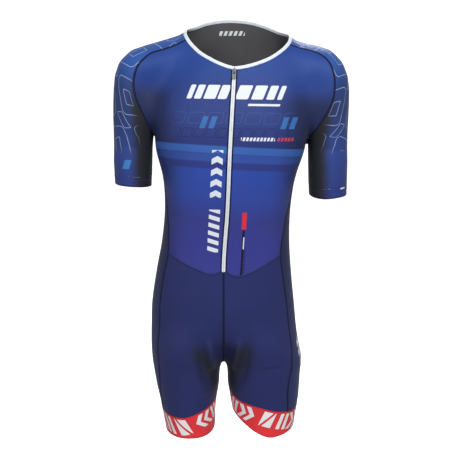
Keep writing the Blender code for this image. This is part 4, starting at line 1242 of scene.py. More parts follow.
# %% [markdown]
# ## Knit
#
# Warp knit is fine columns of loops with a satin face: about fourteen columns to a centimetre. The loops
# are far too small to model, so they are bump. A slow noise keeps the colour and the gloss from being
# the same everywhere, as on real dyed cloth.

# %% Knit cloth
LOOP_ACROSS = 0.7
LOOP_ALONG = 0.55
TONE_SIZE = 60.0
GLOSS_SIZE = 25.0
CLOTH_SHADER = {"Sheen Roughness": 0.4, "Specular IOR Level": 0.2}


def knit_height(tree):
    """Columns of loops. Each loop slants towards the middle of its column."""
    u, v = cloth_places(tree)
    loop = (v + abs(u.wrap(LOOP_ACROSS)) * 0.8).wave(LOOP_ALONG)
    return u.wave(LOOP_ACROSS) * 0.6 + loop * 0.4


def new_shader(name, values):
    """A new material with its node tree and its shader, whose inputs are set by name."""
    material = bpy.data.materials.new(name)
    material.use_nodes = True
    tree = material.node_tree
    shader = tree.nodes["Principled BSDF"]
    for key, value in values.items():
        shader.inputs[key].default_value = value
    return material, tree, shader


def add_bump(tree, shader, relief, strength, depth):
    """Relief that only bends the light. Its depth is in metres."""
    bump = tree.nodes.new("ShaderNodeBump")
    bump.inputs["Strength"].default_value = strength
    bump.inputs["Distance"].default_value = depth
    tree.links.new(relief.socket, bump.inputs["Height"])
    tree.links.new(bump.outputs[0], shader.inputs["Normal"])


def cloth_finish(name, paint, gloss=0.42, sheen=0.03, height=knit_height, depth=0.00012):
    """A cloth material: paint() gives its colour, height() its relief."""
    material, tree, shader = new_shader(name, {"Sheen Weight": sheen, **CLOTH_SHADER})
    patchy = noise(tree, TONE_SIZE) * 0.16 + 0.92
    tone = tree.nodes.new("ShaderNodeVectorMath")
    tone.operation = "SCALE"
    tree.links.new(paint(tree), tone.inputs[0])
    tree.links.new(patchy.socket, tone.inputs["Scale"])
    tree.links.new(tone.outputs[0], shader.inputs["Base Color"])
    rough = noise(tree, GLOSS_SIZE) * 0.08 + (gloss - 0.04)
    tree.links.new(rough.socket, shader.inputs["Roughness"])
    add_bump(tree, shader, height(tree), 0.5, depth)
    return material


print("columns of loops in a centimetre:", round(10 / LOOP_ACROSS))

# %% [markdown]
# ## The print on the trunk
#
# The cloth is dyed before it is cut, so the print runs over the seams. A blue fade, a pale stripe and a
# dark stripe go round the chest. The fade is a ramp over the height, since that is what a dye bath or a
# wide printing roller leaves. The level of the print drops a little to one side, as the suit leans.

# %% Trunk print
WHITE = (226, 232, 240)
RED = (226, 48, 62)
TRUNK_FADE = [
    (-520, (57, 60, 138)), (-430, (57, 61, 142)), (-370, (56, 62, 138)), (-320, (52, 74, 162)),
    (-262, (49, 76, 166)), (-212, (44, 56, 118)), (-160, (44, 62, 128)), (-110, (42, 61, 128)),
    (-60, (38, 69, 142)), (20, (40, 70, 144)),
]
# Each stripe: low edge, high edge, softness, strength and dye.
STRIPES = (
    (-231, -216, 1.5, 1.0, (58, 98, 174)),
    (-248, -231, 4.0, 0.6, (58, 88, 168)),
    (-263, -249, 2.0, 0.8, (48, 58, 122)),
)
TRUNK_FRONT = -120.0
SIDE_REACH = 90.0
SIDE_DROP = 0.13


def level(x, y, z, tilt):
    """Height along the print, which drops a little to the wearer's left and round the sides."""
    return z + x * tilt + (y - TRUNK_FRONT).least(SIDE_REACH) * SIDE_DROP


def trunk_colour(tree):
    x, y, z = places(tree)
    z = level(x, y, z, 0.055)
    colour = ramp(tree, z, TRUNK_FADE)
    # Darker towards the side seams: partly the print's own dark sides, partly painted shade where the trunk
    # turns away from the light.
    sides = abs(x + 22).rise(84, 152) * z.rise(-90, -130)
    colour = printed(tree, colour, sides * 0.8, (38, 43, 74))
    for low, high, soft, strength, tone in STRIPES:
        colour = printed(tree, colour, z.within(low, high, soft) * strength, tone)
    return colour


print("stops in the blue fade:", len(TRUNK_FADE), "stripes:", len(STRIPES))

# %% [markdown]
# The chest carries more: leaning white blocks and pale bars, two rows of thin outlines and a row of small
# marks. They are plain motifs of the kind that such suits carry. Each is a box or a band that repeats, so
# it takes a few nodes and no picture.

# %% Chest print
# Each row: period, height, half size, corner, strength and dye.
OUTLINE_ROWS = (
    (38.0, -158, (15, 11), 4, 0.6, (58, 90, 156)),
    (24.0, -188, (9.5, 9), 2, 0.7, (26, 32, 74)),
)
PALE_BARS = (-70, -52, 92, 110)
# Each block: its middle and half of its width.
CHEST_BLOCKS = ((-95, 5), (-78, 7), (-54, 12), (-29, 9), (10, 13), (41, 12), (67, 8), (86, 5))
# Each run of small marks: where it starts and ends, and its dye.
SMALL_MARKS = ((4, 72, WHITE), (77, 112, (206, 60, 84)))


def chest_print(tree, colour, x, z):
    """Two rows of thin leaning outlines, then bars, blocks and small marks."""
    fade = abs(x + 8).rise(132, 104)
    slanted = x - z * 0.3
    for period, height, half, corner, strength, tone in OUTLINE_ROWS:
        gap = box_gap(slanted.wrap(period), z, (0, height), half, 0, corner)
        colour = printed(tree, colour, outline(gap, 0.7) * fade * strength, tone)
    for middle in PALE_BARS:
        colour = printed(tree, colour, bar(x, z, (middle, -167), (5.5, 12), 0.35), (56, 108, 176))
    for middle, half in CHEST_BLOCKS:
        colour = printed(tree, colour, bar(x, z, (middle, -106), (half, 14), 0.4, 2.5), WHITE)
    colour = printed(tree, colour, bar(x, z, (50, -131), (32, 2.2), 0.4), WHITE)
    marks = bar(slanted.wrap(7.0), z, (0, -200), (2.3, 3.6), 0, 0.6)
    for start, end, tone in SMALL_MARKS:
        colour = printed(tree, colour, marks * x.within(start, end), tone)
    return colour


print("blocks across the chest:", len(CHEST_BLOCKS))

# %% [markdown]
# Down the zip runs a column of chevrons on one side, and a red block with a dark strip on the other. The
# column and the strip lean as the zip does, so each is laid out from its distance to a leaning line.

# %% Print beside the zip
def beside_zip(tree, colour, x, z):
    """The column of chevrons and bars on one side of the zip, the strip on the other."""
    from_zip = x - z * 0.0522 + 5.85
    off = abs(from_zip + 25)
    chevrons = bands(z + off * 0.55, 24.0, 6.0) * z.within(-322, -222)
    slanted = bands(z + from_zip * 0.3, 17.0, 4.5) * z.within(-440, -348)
    mask = (chevrons + slanted).least(1.0) * off.rise(11.5, 11.0)
    colour = printed(tree, colour, mask, WHITE)
    side = x - (z + 355) * 0.054 - 12.5
    colour = printed(tree, colour, bar(side, z, (0, -373), (4.6, 18), 0, 2), RED)
    colour = printed(tree, colour, bar(side, z, (0, -443), (2.2, 50), 0, 1), (22, 24, 52))
    ticks = abs(z.wrap(4.4)).rise(1.0, 0.7) * side.within(2.0, 6.4, 0.3) * z.within(-486, -430)
    colour = printed(tree, colour, ticks, (20, 22, 50))
    return printed(tree, colour, bar(side, z, (1.2, -421), (1.1, 13), 0, 0.5), WHITE)


def front_colour(tree):
    x, y, z = places(tree)
    colour = chest_print(tree, trunk_colour(tree), x, level(x, y, z, 0.015))
    return beside_zip(tree, colour, x, z)


sample = bpy.data.materials.new("sample")
sample.use_nodes = True
front_colour(sample.node_tree)
print("nodes in the print of a front:", len(sample.node_tree.nodes))
bpy.data.materials.remove(sample)

# %% [markdown]
# ## Sleeve print
#
# The sleeves carry thin pale outlines on blue that grows dark under the arm. The outlines are laid out on
# the flat cloth, so they run round the arm without stretching. A light-blue block on one sleeve and a
# white dash on the other have a place on the worn suit instead.

# %% Sleeve print
SLEEVE_FADE = [
    (-340, (46, 58, 122)), (-250, (49, 70, 140)), (-150, (46, 62, 114)), (-100, (44, 66, 124)),
    (-50, (50, 90, 164)), (10, (48, 80, 150)),
]
SLEEVE_PERIODS = (78.0, 104.0)
# Each outline: shift across and along, middle, half size, slant and corner.
SLEEVE_OUTLINES = (
    ((0, 0), (0, 0), (27, 40), 0.18, 12),
    ((39, 52), (0, 0), (8, 17), -0.25, 3),
    ((0, 0), (3, 2), (9, 16), 0.18, 2),
)


def sleeve_colour(tree):
    x, y, z = places(tree)
    u, v = cloth_places(tree)
    colour = ramp(tree, z, SLEEVE_FADE)
    inner = abs(u).rise(64, 92)
    colour = printed(tree, colour, inner * z.rise(-80, -150), (42, 43, 48))
    across = u * 0.93 + v * 0.36
    along = v * 0.93 - u * 0.36
    fade = abs(u).rise(96, 70) * z.rise(-246, -226)
    for shift, middle, half, slant, corner in SLEEVE_OUTLINES:
        boxes = [(way + off).wrap(period) for way, off, period in zip((across, along), shift, SLEEVE_PERIODS)]
        gap = box_gap(*boxes, middle, half, slant, corner)
        colour = printed(tree, colour, outline(gap, 0.5) * fade, (172, 184, 216))
    front = y.rise(0, -10)
    colour = printed(tree, colour, bar(x, z, (-231, -265), (7, 9.5), 0.33) * front, (62, 124, 190))
    return printed(tree, colour, bar(x, z, (217, -317), (5, 1.6), 0.3) * front, WHITE)


print("outlines on each sleeve repeat every", SLEEVE_PERIODS)

# %% [markdown]
# ## Shorts, side panels and lining
#
# The shorts are one navy, with painted shade in two places beside the folds at the crotch, where the light
# does not reach the inner thighs. The side panels turn darker towards the arm, and the left one carries a
# few white bars at its front edge. The inside of the cloth is grey, with a row of bars printed inside the
# back of the neck in place of a sewn label.

# %% Shorts and side panels
NAVY_FADE = [(-840, (42, 49, 100)), (-700, (42, 49, 101)), (-560, (41, 48, 100)), (-440, (41, 48, 101))]
SIDE_FADE = [(-840, (42, 50, 104)), (-640, (40, 47, 98)), (-440, (34, 40, 82)), (-200, (26, 31, 66))]
GREY_FADE = [(-860, (84, 86, 94)), (-60, (86, 86, 90)), (40, (96, 96, 98))]
# Each place of painted shade at the crotch: middle, half size and slant.
CROTCH_PAINTED_SHADE = (((-62, -708), (9, 48), -0.36), ((-6, -708), (13, 54), 0.3))


def shorts_colour(tree):
    x, y, z = places(tree)
    colour = ramp(tree, z, NAVY_FADE)
    # Painted shade: near-black over the hollows beside the crotch folds, where the light does not reach.
    for middle, half, slant in CROTCH_PAINTED_SHADE:
        painted_shade = box_gap(x, z, middle, half, slant, 9).rise(28, -9)
        colour = printed(tree, colour, painted_shade * 0.85, (41, 43, 52))
    return colour


def side_colour(tree):
    x, y, z = places(tree)
    mask = bands(z - y * 0.5, 21.0, 6.5) * z.within(-716, -652) * y.within(-30, 36) * x.rise(0, 1)
    return printed(tree, ramp(tree, z, SIDE_FADE), mask, WHITE)


def lining_colour(tree):
    x, y, z = places(tree)
    bars = (x + 13 - z * 0.4).wrap(10.5).within(-3.2, 3.2, 0.3) * x.within(-40, 14, 0.3)
    mask = bars * z.within(-12, -2, 0.3) * y.rise(40, 44)
    return printed(tree, ramp(tree, z, GREY_FADE), mask, (246, 248, 251))


print("navy at the leg, as light:", [round(part, 3) for part in dye(*NAVY_FADE[0][1])[:3]])

# %% [markdown]
# The leg bands are wide red elastic. White bars, chevrons and a slit block go round them, over and over.
# The relief is other than knit: fine cords of rubber run round the leg, so they are laid out on the flat
# cloth along its length.

# %% Leg bands
BAND_PERIOD = 128.0
BAND_MIDDLE = 23.5
BAND_BARS = ((-62, -53), (-47, -38))
BAND_CHEVRONS = ((-20, -9), (0, 11))
CORD = 1.6
CORD_STITCH = 0.8


def band_colour(tree):
    u, v = cloth_places(tree)
    red = ramp(tree, v, [(0, (228, 58, 64)), (55, (238, 60, 66))])
    across = (u + v * 0.3).wrap(BAND_PERIOD)
    tip = across + abs(v - BAND_MIDDLE) * 0.8
    slit = abs(across - 40.5 + (v - BAND_MIDDLE) * 0.5).rise(2.6, 3.4)
    mask = across.within(27, 54, 0.4) * slit
    for field, edges in ((across, BAND_BARS), (tip, BAND_CHEVRONS)):
        for low, high in edges:
            mask = mask + field.within(low, high, 0.4)
    return printed(tree, red, mask.least(1.0) * v.within(5, 42, 0.5), (246, 245, 247))


def rib_height(tree):
    """Elastic: fine cords that run round the leg."""
    u, v = cloth_places(tree)
    return v.wave(CORD) * 0.7 + u.wave(CORD_STITCH) * 0.3


print("the band's print repeats every", BAND_PERIOD)

# %% [markdown]
# Binding, tape, teeth and threads are bought trims in one dye each. A flat colour would look like plastic,
# so two close shades are mixed. All the finishes are made here, once, and used by their short names.

# %% Trim and all finishes
def plain(colour, other):
    """The paint of a trim in two close shades of one dye."""
    return lambda tree: two_tones(tree, 9.0, colour, other)


def weave_height(tree):
    """Woven tape: threads up and across."""
    x, y, z = places(tree)
    return z.wave(0.9) * 0.5 + x.wave(0.9) * 0.5


FINISH = {
    "front": cloth_finish("blue_print_front", front_colour),
    "back": cloth_finish("blue_print_back", trunk_colour),
    "sleeve": cloth_finish("blue_print_sleeve", sleeve_colour),
    "shorts": cloth_finish("navy_shorts", shorts_colour),
    "side": cloth_finish("navy_side", side_colour),
    "lining": cloth_finish("grey_inside", lining_colour, gloss=0.7, sheen=0.1),
    "band": cloth_finish("red_elastic", band_colour, height=rib_height, depth=0.0002),
    "binding": cloth_finish("white_binding", plain((220, 228, 236), (231, 237, 243)), gloss=0.55,
                            height=weave_height),
    "tape": cloth_finish("white_zip_tape", plain((228, 234, 241), (240, 243, 248)), gloss=0.6,
                         height=weave_height),
    "teeth": cloth_finish("white_zip_teeth", plain((232, 236, 241), (244, 246, 248)), gloss=0.3, sheen=0.0),
    "thread": cloth_finish("dark_thread", plain((16, 20, 48), (22, 27, 60)), gloss=0.6),
    "navy_thread": cloth_finish("navy_thread", plain((34, 40, 92), (42, 48, 104)), gloss=0.6),
    "hem_thread": cloth_finish("blue_thread", plain((52, 66, 132), (62, 78, 150)), gloss=0.5),
    "white_thread": cloth_finish("white_thread", plain((214, 222, 232), (232, 237, 243)), gloss=0.5),
}
print("finishes:", len(FINISH))

# %% [markdown]
# ## Flat places
#
# The knit and some prints are laid out on the flat cloth, as they are on a real bolt. So every corner of
# a panel gets its place there, measured along the cloth's own rows and columns. Blender's unwrap tools
# would give a map too, but its scale and its grain would be left to chance.

# %% Flat places of a grid
def flat_places(grid, closed):
    """Across and along in metres for each corner, measured on the cloth itself."""
    ring = np.concatenate([grid, grid[:, :1]], 1) if closed else grid
    across = np.zeros(ring.shape[:2])
    along = np.zeros(ring.shape[:2])
    across[:, 1:] = np.cumsum(np.linalg.norm(np.diff(ring, axis=1), axis=2), 1)
    along[1:] = np.cumsum(np.linalg.norm(np.diff(ring, axis=0), axis=2), 0)
    across -= across[:, [ring.shape[1] // 2]]
    return np.stack([across, along], -1) * MM


def grid_quads(count, width, closed):
    """Corner numbers of the quads of a grid, and the places they have on the flat cloth."""
    i, j = np.meshgrid(np.arange(count - 1), np.arange(width if closed else width - 1), indexing="ij")
    i, j = i.ravel(), j.ravel()
    k = (j + 1) % width
    corners = np.stack([i * width + j, i * width + k, (i + 1) * width + k, (i + 1) * width + j], 1)
    wide = width + 1 if closed else width
    flat = np.stack([i * wide + j, i * wide + j + 1, (i + 1) * wide + j + 1, (i + 1) * wide + j], 1)
    return corners, flat


def sweep_faces(count, width):
    """The faces of a section that is carried along a line, with both ends closed."""
    index = np.arange(count * width).reshape(count, width)
    sides = grid_quads(count, width, True)[0].tolist()
    return sides + [index[0].tolist(), index[-1][::-1].tolist()]


print("quads in a grid of 4 by 3 points:", len(grid_quads(4, 3, False)[0]))

# %% [markdown]
# Every piece below becomes one mesh object that rides with the suit. Its faces have to look outwards, or
# the light falls on them from the wrong side. So the normals are made to agree, and turned if the piece
# would have less than no volume. Its edges stay sharp only where faces meet at a steep angle.

# %% One mesh object
SHARP = math.radians(50)


def add_object(name, data):
    """A new object in the scene."""
    new = bpy.data.objects.new(name, data)
    bpy.context.scene.collection.objects.link(new)
    return new


def make_mesh(name, points, faces, finishes, indexes=None, flat=None):
    """A mesh from points in millimetres. flat gives each face corner's place on the cloth."""
    mesh = bpy.data.meshes.new(name)
    mesh.from_pydata((points * MM).tolist(), [], faces)
    for finish in finishes:
        mesh.materials.append(FINISH[finish])
    if indexes is not None:
        mesh.polygons.foreach_set("material_index", np.asarray(indexes, np.int32))
    layer = mesh.uv_layers.new(name="cloth")
    if flat is not None:
        layer.data.foreach_set("uv", np.asarray(flat, np.float32).ravel())
    work = bmesh.new()
    work.from_mesh(mesh)
    bmesh.ops.recalc_face_normals(work, faces=work.faces)
    if work.calc_volume(signed=True) < 0:
        bmesh.ops.reverse_faces(work, faces=work.faces)
    work.to_mesh(mesh)
    work.free()
    mesh.shade_smooth()
    mesh.set_sharp_from_angle(angle=SHARP)
    piece = add_object(name, mesh)
    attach(piece, "suit")
    return piece


print("edges are sharp above:", round(math.degrees(SHARP)), "degrees")

# %% [markdown]
# ## Cloth shells
#
# A cut piece lies flat before it is sewn, and the knit is stretched when it is worn. So each piece says
# how wide and how long it was cut: its width as worn on the flat cloth, made a little narrower.

# %% Cut sizes
STRETCH = 0.95
LEAST_WIDTH = 0.01
CUTS = {}


def declare_cut(piece, flat, area):
    """Tells the size the piece was cut to: narrower than worn, since the knit is stretched."""
    width = max(float(np.ptp(flat[..., 0], axis=1).max()) * STRETCH, LEAST_WIDTH)
    length = float(np.ptp(flat[..., 1], axis=0).max())
    cut = min(area * STRETCH, width * length)
    CUTS[piece.name] = (round(width, 3), round(length, 3), round(cut, 4))


print("cut at", STRETCH, "of the worn width")

# %% [markdown]
# A panel's shell is closed by a narrow rim all round. A tube has one rim at each end, and its lower one
# is rounded, because a hem is turned up and does not end in a raw edge.

# %% Rims and round hems
HEM_BULGE = 0.6


def rims(index, closed):
    """The open edges of a grid of corner numbers: one all round, or one at each end of a tube."""
    if closed:
        return [np.append(row, row[0]) for row in (index[0], index[-1])]
    rim = np.concatenate([index[0, :-1], index[:-1, -1], index[-1, :0:-1], index[:0:-1, 0]])
    return [np.append(rim, rim[0])]


def round_hem(points, faces, spots, outer, inner):
    """Replaces the last rim of a tube with a rounded, turned edge."""
    total = outer.shape[0] * outer.shape[1]
    width = outer.shape[1]
    down = unit(outer[-1] - outer[-2])
    start = len(points)
    points = np.concatenate([points, (outer[-1] + inner[-1]) / 2 + down * HEM_BULGE])
    j = np.arange(width)
    k = (j + 1) % width
    low = total - width
    rim = np.arange(start, start + width)
    first = np.stack([low + j, low + k, rim[k], rim[j]], 1)
    second = np.stack([rim[j], rim[k], total + low + k, total + low + j], 1)
    return points, faces[:-1] + [first, second], spots + spots[-1:]


print("corners on the rim of a 3 by 3 grid:", len(rims(np.arange(9).reshape(3, 3), False)[0]) - 1)

# %% [markdown]
# Each panel is a thin shell: the grid outside, the same grid one thickness further in, and its rims. A
# Solidify modifier would do this too, but here the inside also gets its own lining finish. The folds lift
# both faces together, so the wall stays even.

# %% One cloth shell
def cloth(node, grid, finish, closed=False, lining="lining"):
    """The visible cloth of one panel, in the place of its plain node. A tube ends in a round hem."""
    out = normals(grid)
    outer = inset(grid, out, closed) + out * folds(grid)[..., None]
    inner = outer - out * WALL
    count, width = grid.shape[:2]
    total = count * width
    wide = width + 1 if closed else width
    flat = flat_places(grid, closed)
    corners, places_of = grid_quads(count, width, closed)
    table = flat.reshape(-1, 2)
    faces = [corners, corners[:, ::-1] + total]
    spots = [table[places_of], table[places_of[:, ::-1]]]
    for edge in rims(np.arange(total).reshape(count, width), closed):
        strip = np.stack([edge[:-1], edge[1:], edge[1:] + total, edge[:-1] + total], 1)
        faces.append(strip)
        spots.append(table[(strip % total) // width * wide + (strip % total) % width])
    points = np.concatenate([outer.reshape(-1, 3), inner.reshape(-1, 3)])
    if closed:
        points, faces, spots = round_hem(points, faces, spots, outer, inner)
    indexes = np.repeat([0, 1] + [0] * (len(faces) - 2), [len(part) for part in faces])
    name = "cloth_" + node
    piece = make_mesh(name, points, np.concatenate(faces).tolist(), (finish, lining), indexes,
                      np.concatenate(spots).reshape(-1, 2))
    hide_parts(node)
    area = sum(face.area for face in piece.data.polygons) / 2
    declare_cut(piece, flat, area)
    return piece


print("thickness of the cloth:", WALL)

# %% [markdown]
# ## Sewing the suit together
#
# Each half has a front, a side panel and the front and back of one short leg. The front runs from the
# zip to the raglan and side seams, the side panel from the arm to the leg band. Each panel is laid out as
# it is seen from its own upright line in the body, between the seams that it shares.

# %% Fronts, sides and shorts
def dress_half(half):
    """The four panels of one half, each from its seams: top, bottom, first and last."""
    side = half.side
    core = SHORTS_CORES[side]
    facing = SHORTS_FACING[side]
    outwards = 180.0 if half.right else 0.0
    edge = join(half.front, half.side_front[0])
    grid = panel_grid(RayChart(TORSO_CORE_FRONT, -90.0), half.neck_front, half.waist_front, edge,
                      half.zip_edge)
    cloth("front_" + side, span_hollows(grid), "front")
    grid = panel_grid(RayChart(half.leg, outwards), half.roof, half.band_side,
                      join(*half.side_front), join(*half.side_back))
    cloth("side_" + side, grid, "side")
    grid = panel_grid(RayChart(core, facing), half.shorts_top, half.band_front, half.side_front[1],
                      half.centre_front)
    cloth("short_front_" + side, grid, "shorts")
    grid = panel_grid(RayChart(core, -facing), half.waist_back, half.band_back, half.side_back[1],
                      half.centre_back)
    cloth("short_back_" + side, grid, "shorts")


for half in halves:
    dress_half(half)
print("panels:", sorted(CUTS))

# %% [markdown]
# The back is one piece, from the neck to the waist. It has no seam down its middle, so the print runs
# across it unbroken, and its edges are the raglan and side seams of both halves.

# %% Back
bearings = turns(RAGLAN_BEARINGS["right"][1], RAGLAN_BEARINGS["left"][1])
back_neck = seam(neck_points(bearings), BACK_COLUMNS)
waist = join(right.waist_back, left.waist_back[::-1])
edges = [join(half.back, half.side_back[0]) for half in halves]
grid = panel_grid(RayChart(TORSO_CORE_BACK, 90.0), back_neck, waist, *edges)
cloth("back_panel", span_hollows(grid), "back")
print("back as cut:", CUTS["cloth_back_panel"])

# %% [markdown]
# A raglan sleeve reaches up to the neck and closes in one seam under the arm. It bends at the shoulder, so
# it is laid out round its own bent line and not from an upright one. Cuffs and leg bands are tubes that
# end in a rounded, turned hem.

# %% Sleeves, cuffs and leg bands
def dress_ends(half):
    """The sleeve, the cuff and the leg band of one half."""
    middle = SIDE_COLUMNS // 2
    first = join(half.front, half.roof[:middle + 1], half.under)
    last = join(half.back, half.roof[middle:][::-1], half.under)
    chart = SleeveChart(SLEEVE_CORES[half.side], half.side)
    grid = patch(chart, half.neck_sleeve, half.cuff_top, first, last, turn_under_arm)
    cloth("sleeve_" + half.side, grid, "sleeve")
    grid = tube(half.arm, half.cuff_top[:-1], CUFF_RINGS[half.side], CUFF_ROWS)
    cloth("cuff_" + half.side, grid, "sleeve", closed=True)
    top = np.concatenate([half.band_front[::-1], half.band_side[1:-1], half.band_back[:-1]])
    grid = tube(half.leg, top, half.band_rings[1], BAND_ROWS)
    cloth("leg_band_" + half.side, grid, "band", closed=True)


for half in halves:
    dress_ends(half)
print("cuts:", CUTS)

# %% [markdown]
# ## Ribbons that follow a seam
#
# Flat seams and the edges of the zip are one section carried along a line. A Blender curve with a bevel
# could do it, but it twists where the line bends. Here the section always stands on the cloth.

# %% A section carried along a line
THREAD_PITCH = 2.6
RIDGED_ABOVE = 0.3


def frame_along(line):
    """The line on the folded cloth, with the way along it, across it and out of the cloth."""
    line = settle(line, 2)
    out = normals(line)
    along = unit(np.gradient(line, axis=0))
    across = unit(np.cross(along, out))
    return line + out * folds(line)[:, None], along, across, out


def cut_line(line, pitch):
    """The line in even steps that are close to the pitch."""
    return spaced(line, max(int(lengths(line)[-1] / pitch), 2))


def ribbon(name, line, section, finish, ridge=0.0):
    """A closed section carried along a line in steps of 1 mm. ridge raises slanting threads on it."""
    base, along, across, out = frame_along(cut_line(line, 1.0))
    section = np.array(section, float)
    travel = np.arange(len(base))[:, None]
    wave = np.cos(2 * math.pi * (travel / THREAD_PITCH + section[:, 0] / 5.0)) * ridge
    height = section[:, 1] + wave * (section[:, 1] > RIDGED_ABOVE)
    points = base[:, None] + across[:, None] * section[:, 0, None] + out[:, None] * height[..., None]
    piece = make_mesh(name, points.reshape(-1, 3), sweep_faces(*points.shape[:2]), (finish,))
    return piece


print("threads slant over a seam every", THREAD_PITCH)

# %% [markdown]
# A flat seam joins two edges of stretch cloth side by side, under a band of thread about four and a half
# millimetres wide. It has two low ridges and slanting threads. The ridges are modelled, since they catch
# the light along every seam, and single threads are only hinted at.

# %% Flat seams
FLAT_SEAM = ((-2.3, -0.1), (-2.0, 0.4), (-1.0, 0.62), (0, 0.55), (1.0, 0.62), (2.0, 0.4), (2.3, -0.1))
seam_lengths = {}


def sew_flat(name, line, finish="thread"):
    """One flat seam along a line."""
    ribbon("flat_seam_" + name, line, FLAT_SEAM, finish, ridge=0.14)
    seam_lengths[name] = round(float(lengths(line)[-1]))


for half in halves:
    side = half.side
    sew_flat("raglan_front_" + side, half.front)
    sew_flat("raglan_back_" + side, half.back)
    sew_flat("underarm_" + side, join(half.roof[SIDE_COLUMNS // 2:][::-1][-2:], half.under))
    sew_flat("armhole_" + side, half.roof)
    sew_flat("side_front_" + side, join(*half.side_front))
    sew_flat("side_back_" + side, join(*half.side_back))
    sew_flat("waist_front_" + side, half.waist_front, "navy_thread")
    sew_flat("waist_back_" + side, half.waist_back, "navy_thread")
    sew_flat("inner_leg_" + side, half.centre_front[CROTCH_ROWS:])
crotch = join(right.centre_front[:CROTCH_ROWS + 1], right.centre_back[:CROTCH_ROWS + 1][::-1])
sew_flat("centre", crotch)
print("flat seams:", seam_lengths)

# %% [markdown]
# ## Binding and zip
#
# The neck edge is wrapped in a narrow folded strip, which is sewn through all its layers. Its fold runs a
# little above the neckline, and its needle line makes a shallow groove. It is a section carried round
# the neck, but it leans up from the neckline and not out from the cloth, so it gets a frame of its own.

# %% Neck binding
BINDING_FOLD = (
    (0.15, 0.3), (0.7, 0.7), (1.5, 0.4), (2.3, 0.7), (3.6, 0.9), (5.1, 0.7), (6.2, 0.3), (6.9, -0.3),
    (7.0, -1.0), (6.2, -1.8), (4.6, -2.1), (2.5, -2.1), (0.15, -2.1),
)
BINDING_SLIT = 0.6


def neck_edge():
    """The neckline from the zip round the back to the zip, and the way across the binding."""
    top = zip_line()[:1]
    ring = np.concatenate([
        top, right.neck_front[::-1], right.neck_sleeve[1:], back_neck[1:],
        left.neck_sleeve[::-1][1:], left.neck_front[1:], top,
    ])
    along = np.gradient(ring, axis=0)
    along[0] = ring[1] - ring[0]
    along[-1] = ring[-1] - ring[-2]
    along = unit(along)
    ring[0] += along[0] * BINDING_SLIT / 2
    ring[-1] -= along[-1] * BINDING_SLIT / 2
    up = unit(np.cross(along, normals(ring)))
    return ring, up * np.sign(up[:, 2:])


def make_binding():
    """The folded strip round the neck."""
    ring, up = neck_edge()
    fold_lines = []
    for rise, height in BINDING_FOLD:
        line = settle(ring + up * rise)
        fold_lines.append(line + normals(line) * height)
    points = np.stack(fold_lines, 1)
    piece = make_mesh("folded_binding", points.reshape(-1, 3), sweep_faces(*points.shape[:2]), ("binding",))
    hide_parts("neck_binding")
    length = float(lengths(ring)[-1]) * MM
    area = sum(face.area for face in piece.data.polygons) / 2
    CUTS[piece.name] = (round(length, 3), 0.01, round(area, 4))


make_binding()
print("binding as cut:", CUTS["folded_binding"])

# %% [markdown]
# A stitch is a short bead of thread that is pulled into the cloth at both ends. Many hundred of them lie
# on the suit, so each bead has only six faces. Separate tubes would be rounder, but nobody would see it.

# %% Stitches as small beads of thread
BEAD = np.array([(0, 2, 4), (2, 1, 4), (1, 3, 4), (3, 0, 4), (0, 3, 2), (3, 1, 2)])


def copies(count, corners, faces):
    """Face corner numbers of many copies of one small shape."""
    start = (np.arange(count) * corners)[:, None, None]
    return (start + faces[None]).reshape(-1, faces.shape[1]).tolist()


def stitches(name, line, pitch, size, finish, lift=0.15):
    """A row of short raised stitches along a line that lies on the cloth."""
    base, along, across, out = frame_along(cut_line(line, pitch))
    base = base + out * lift
    long, wide, high = size
    ends = [base - along * long / 2, base + along * long / 2]
    mids = [base - across * wide / 2, base + across * wide / 2, base + out * high]
    points = np.stack(ends + mids, 1)
    piece = make_mesh(name, points.reshape(-1, 3), copies(len(base), 5, BEAD), (finish,))
    print(name, "stitches:", len(base))
    return piece


ring, up = neck_edge()
needle_line = settle(ring + up * BINDING_FOLD[2][0])
stitches("stitches_binding", needle_line, 3.0, (2.3, 0.6, 0.35), "white_thread", 0.45)

# %% [markdown]
# A closed coil zip shows a smooth tape and, down its middle, two rows of small loops that meet. The loops
# of one row stand half a pitch lower than those of the other. Each loop is a small tapered block with a
# raised middle, copied down the line. A raised welt in dark thread runs along each edge of the tape: partly
# its stitching, partly painted shade for the dark shadow line beside the tape.

# %% Zip tape, teeth and edges
TAPE_COLUMNS = 12
TEETH_PITCH = 1.3
# Corners of one loop: across, along and out of the cloth. The first four lie on the tape.
LOOP = (
    (0.1, -0.38, 0.1), (0.1, 0.38, 0.1), (1.75, 0.3, 0.1), (1.75, -0.3, 0.1),
    (0.3, -0.2, 1.05), (0.3, 0.2, 1.05), (1.45, 0.18, 0.9), (1.45, -0.18, 0.9),
)
LOOP_SIDES = np.array([(0, 1, 2, 3), (4, 7, 6, 5), (0, 4, 5, 1), (1, 5, 6, 2), (2, 6, 7, 3), (3, 7, 4, 0)])
# The welt's dark thread is partly painted shade: it stands for the shadow line along each side of the tape.
ZIP_WELT_AND_SHADE_LINE = ((-1.5, -0.1), (-1.4, 0.5), (-0.7, 0.85), (0.7, 0.85), (1.4, 0.5), (1.5, -0.1))


def make_zip_tape():
    """The tape between the two fronts."""
    share = np.linspace(0, 1, TAPE_COLUMNS + 1)[:, None]
    grid = right.zip_edge[:, None] * (1 - share) + left.zip_edge[:, None] * share
    cloth("zip_tape", settle(grid), "tape", lining="tape")


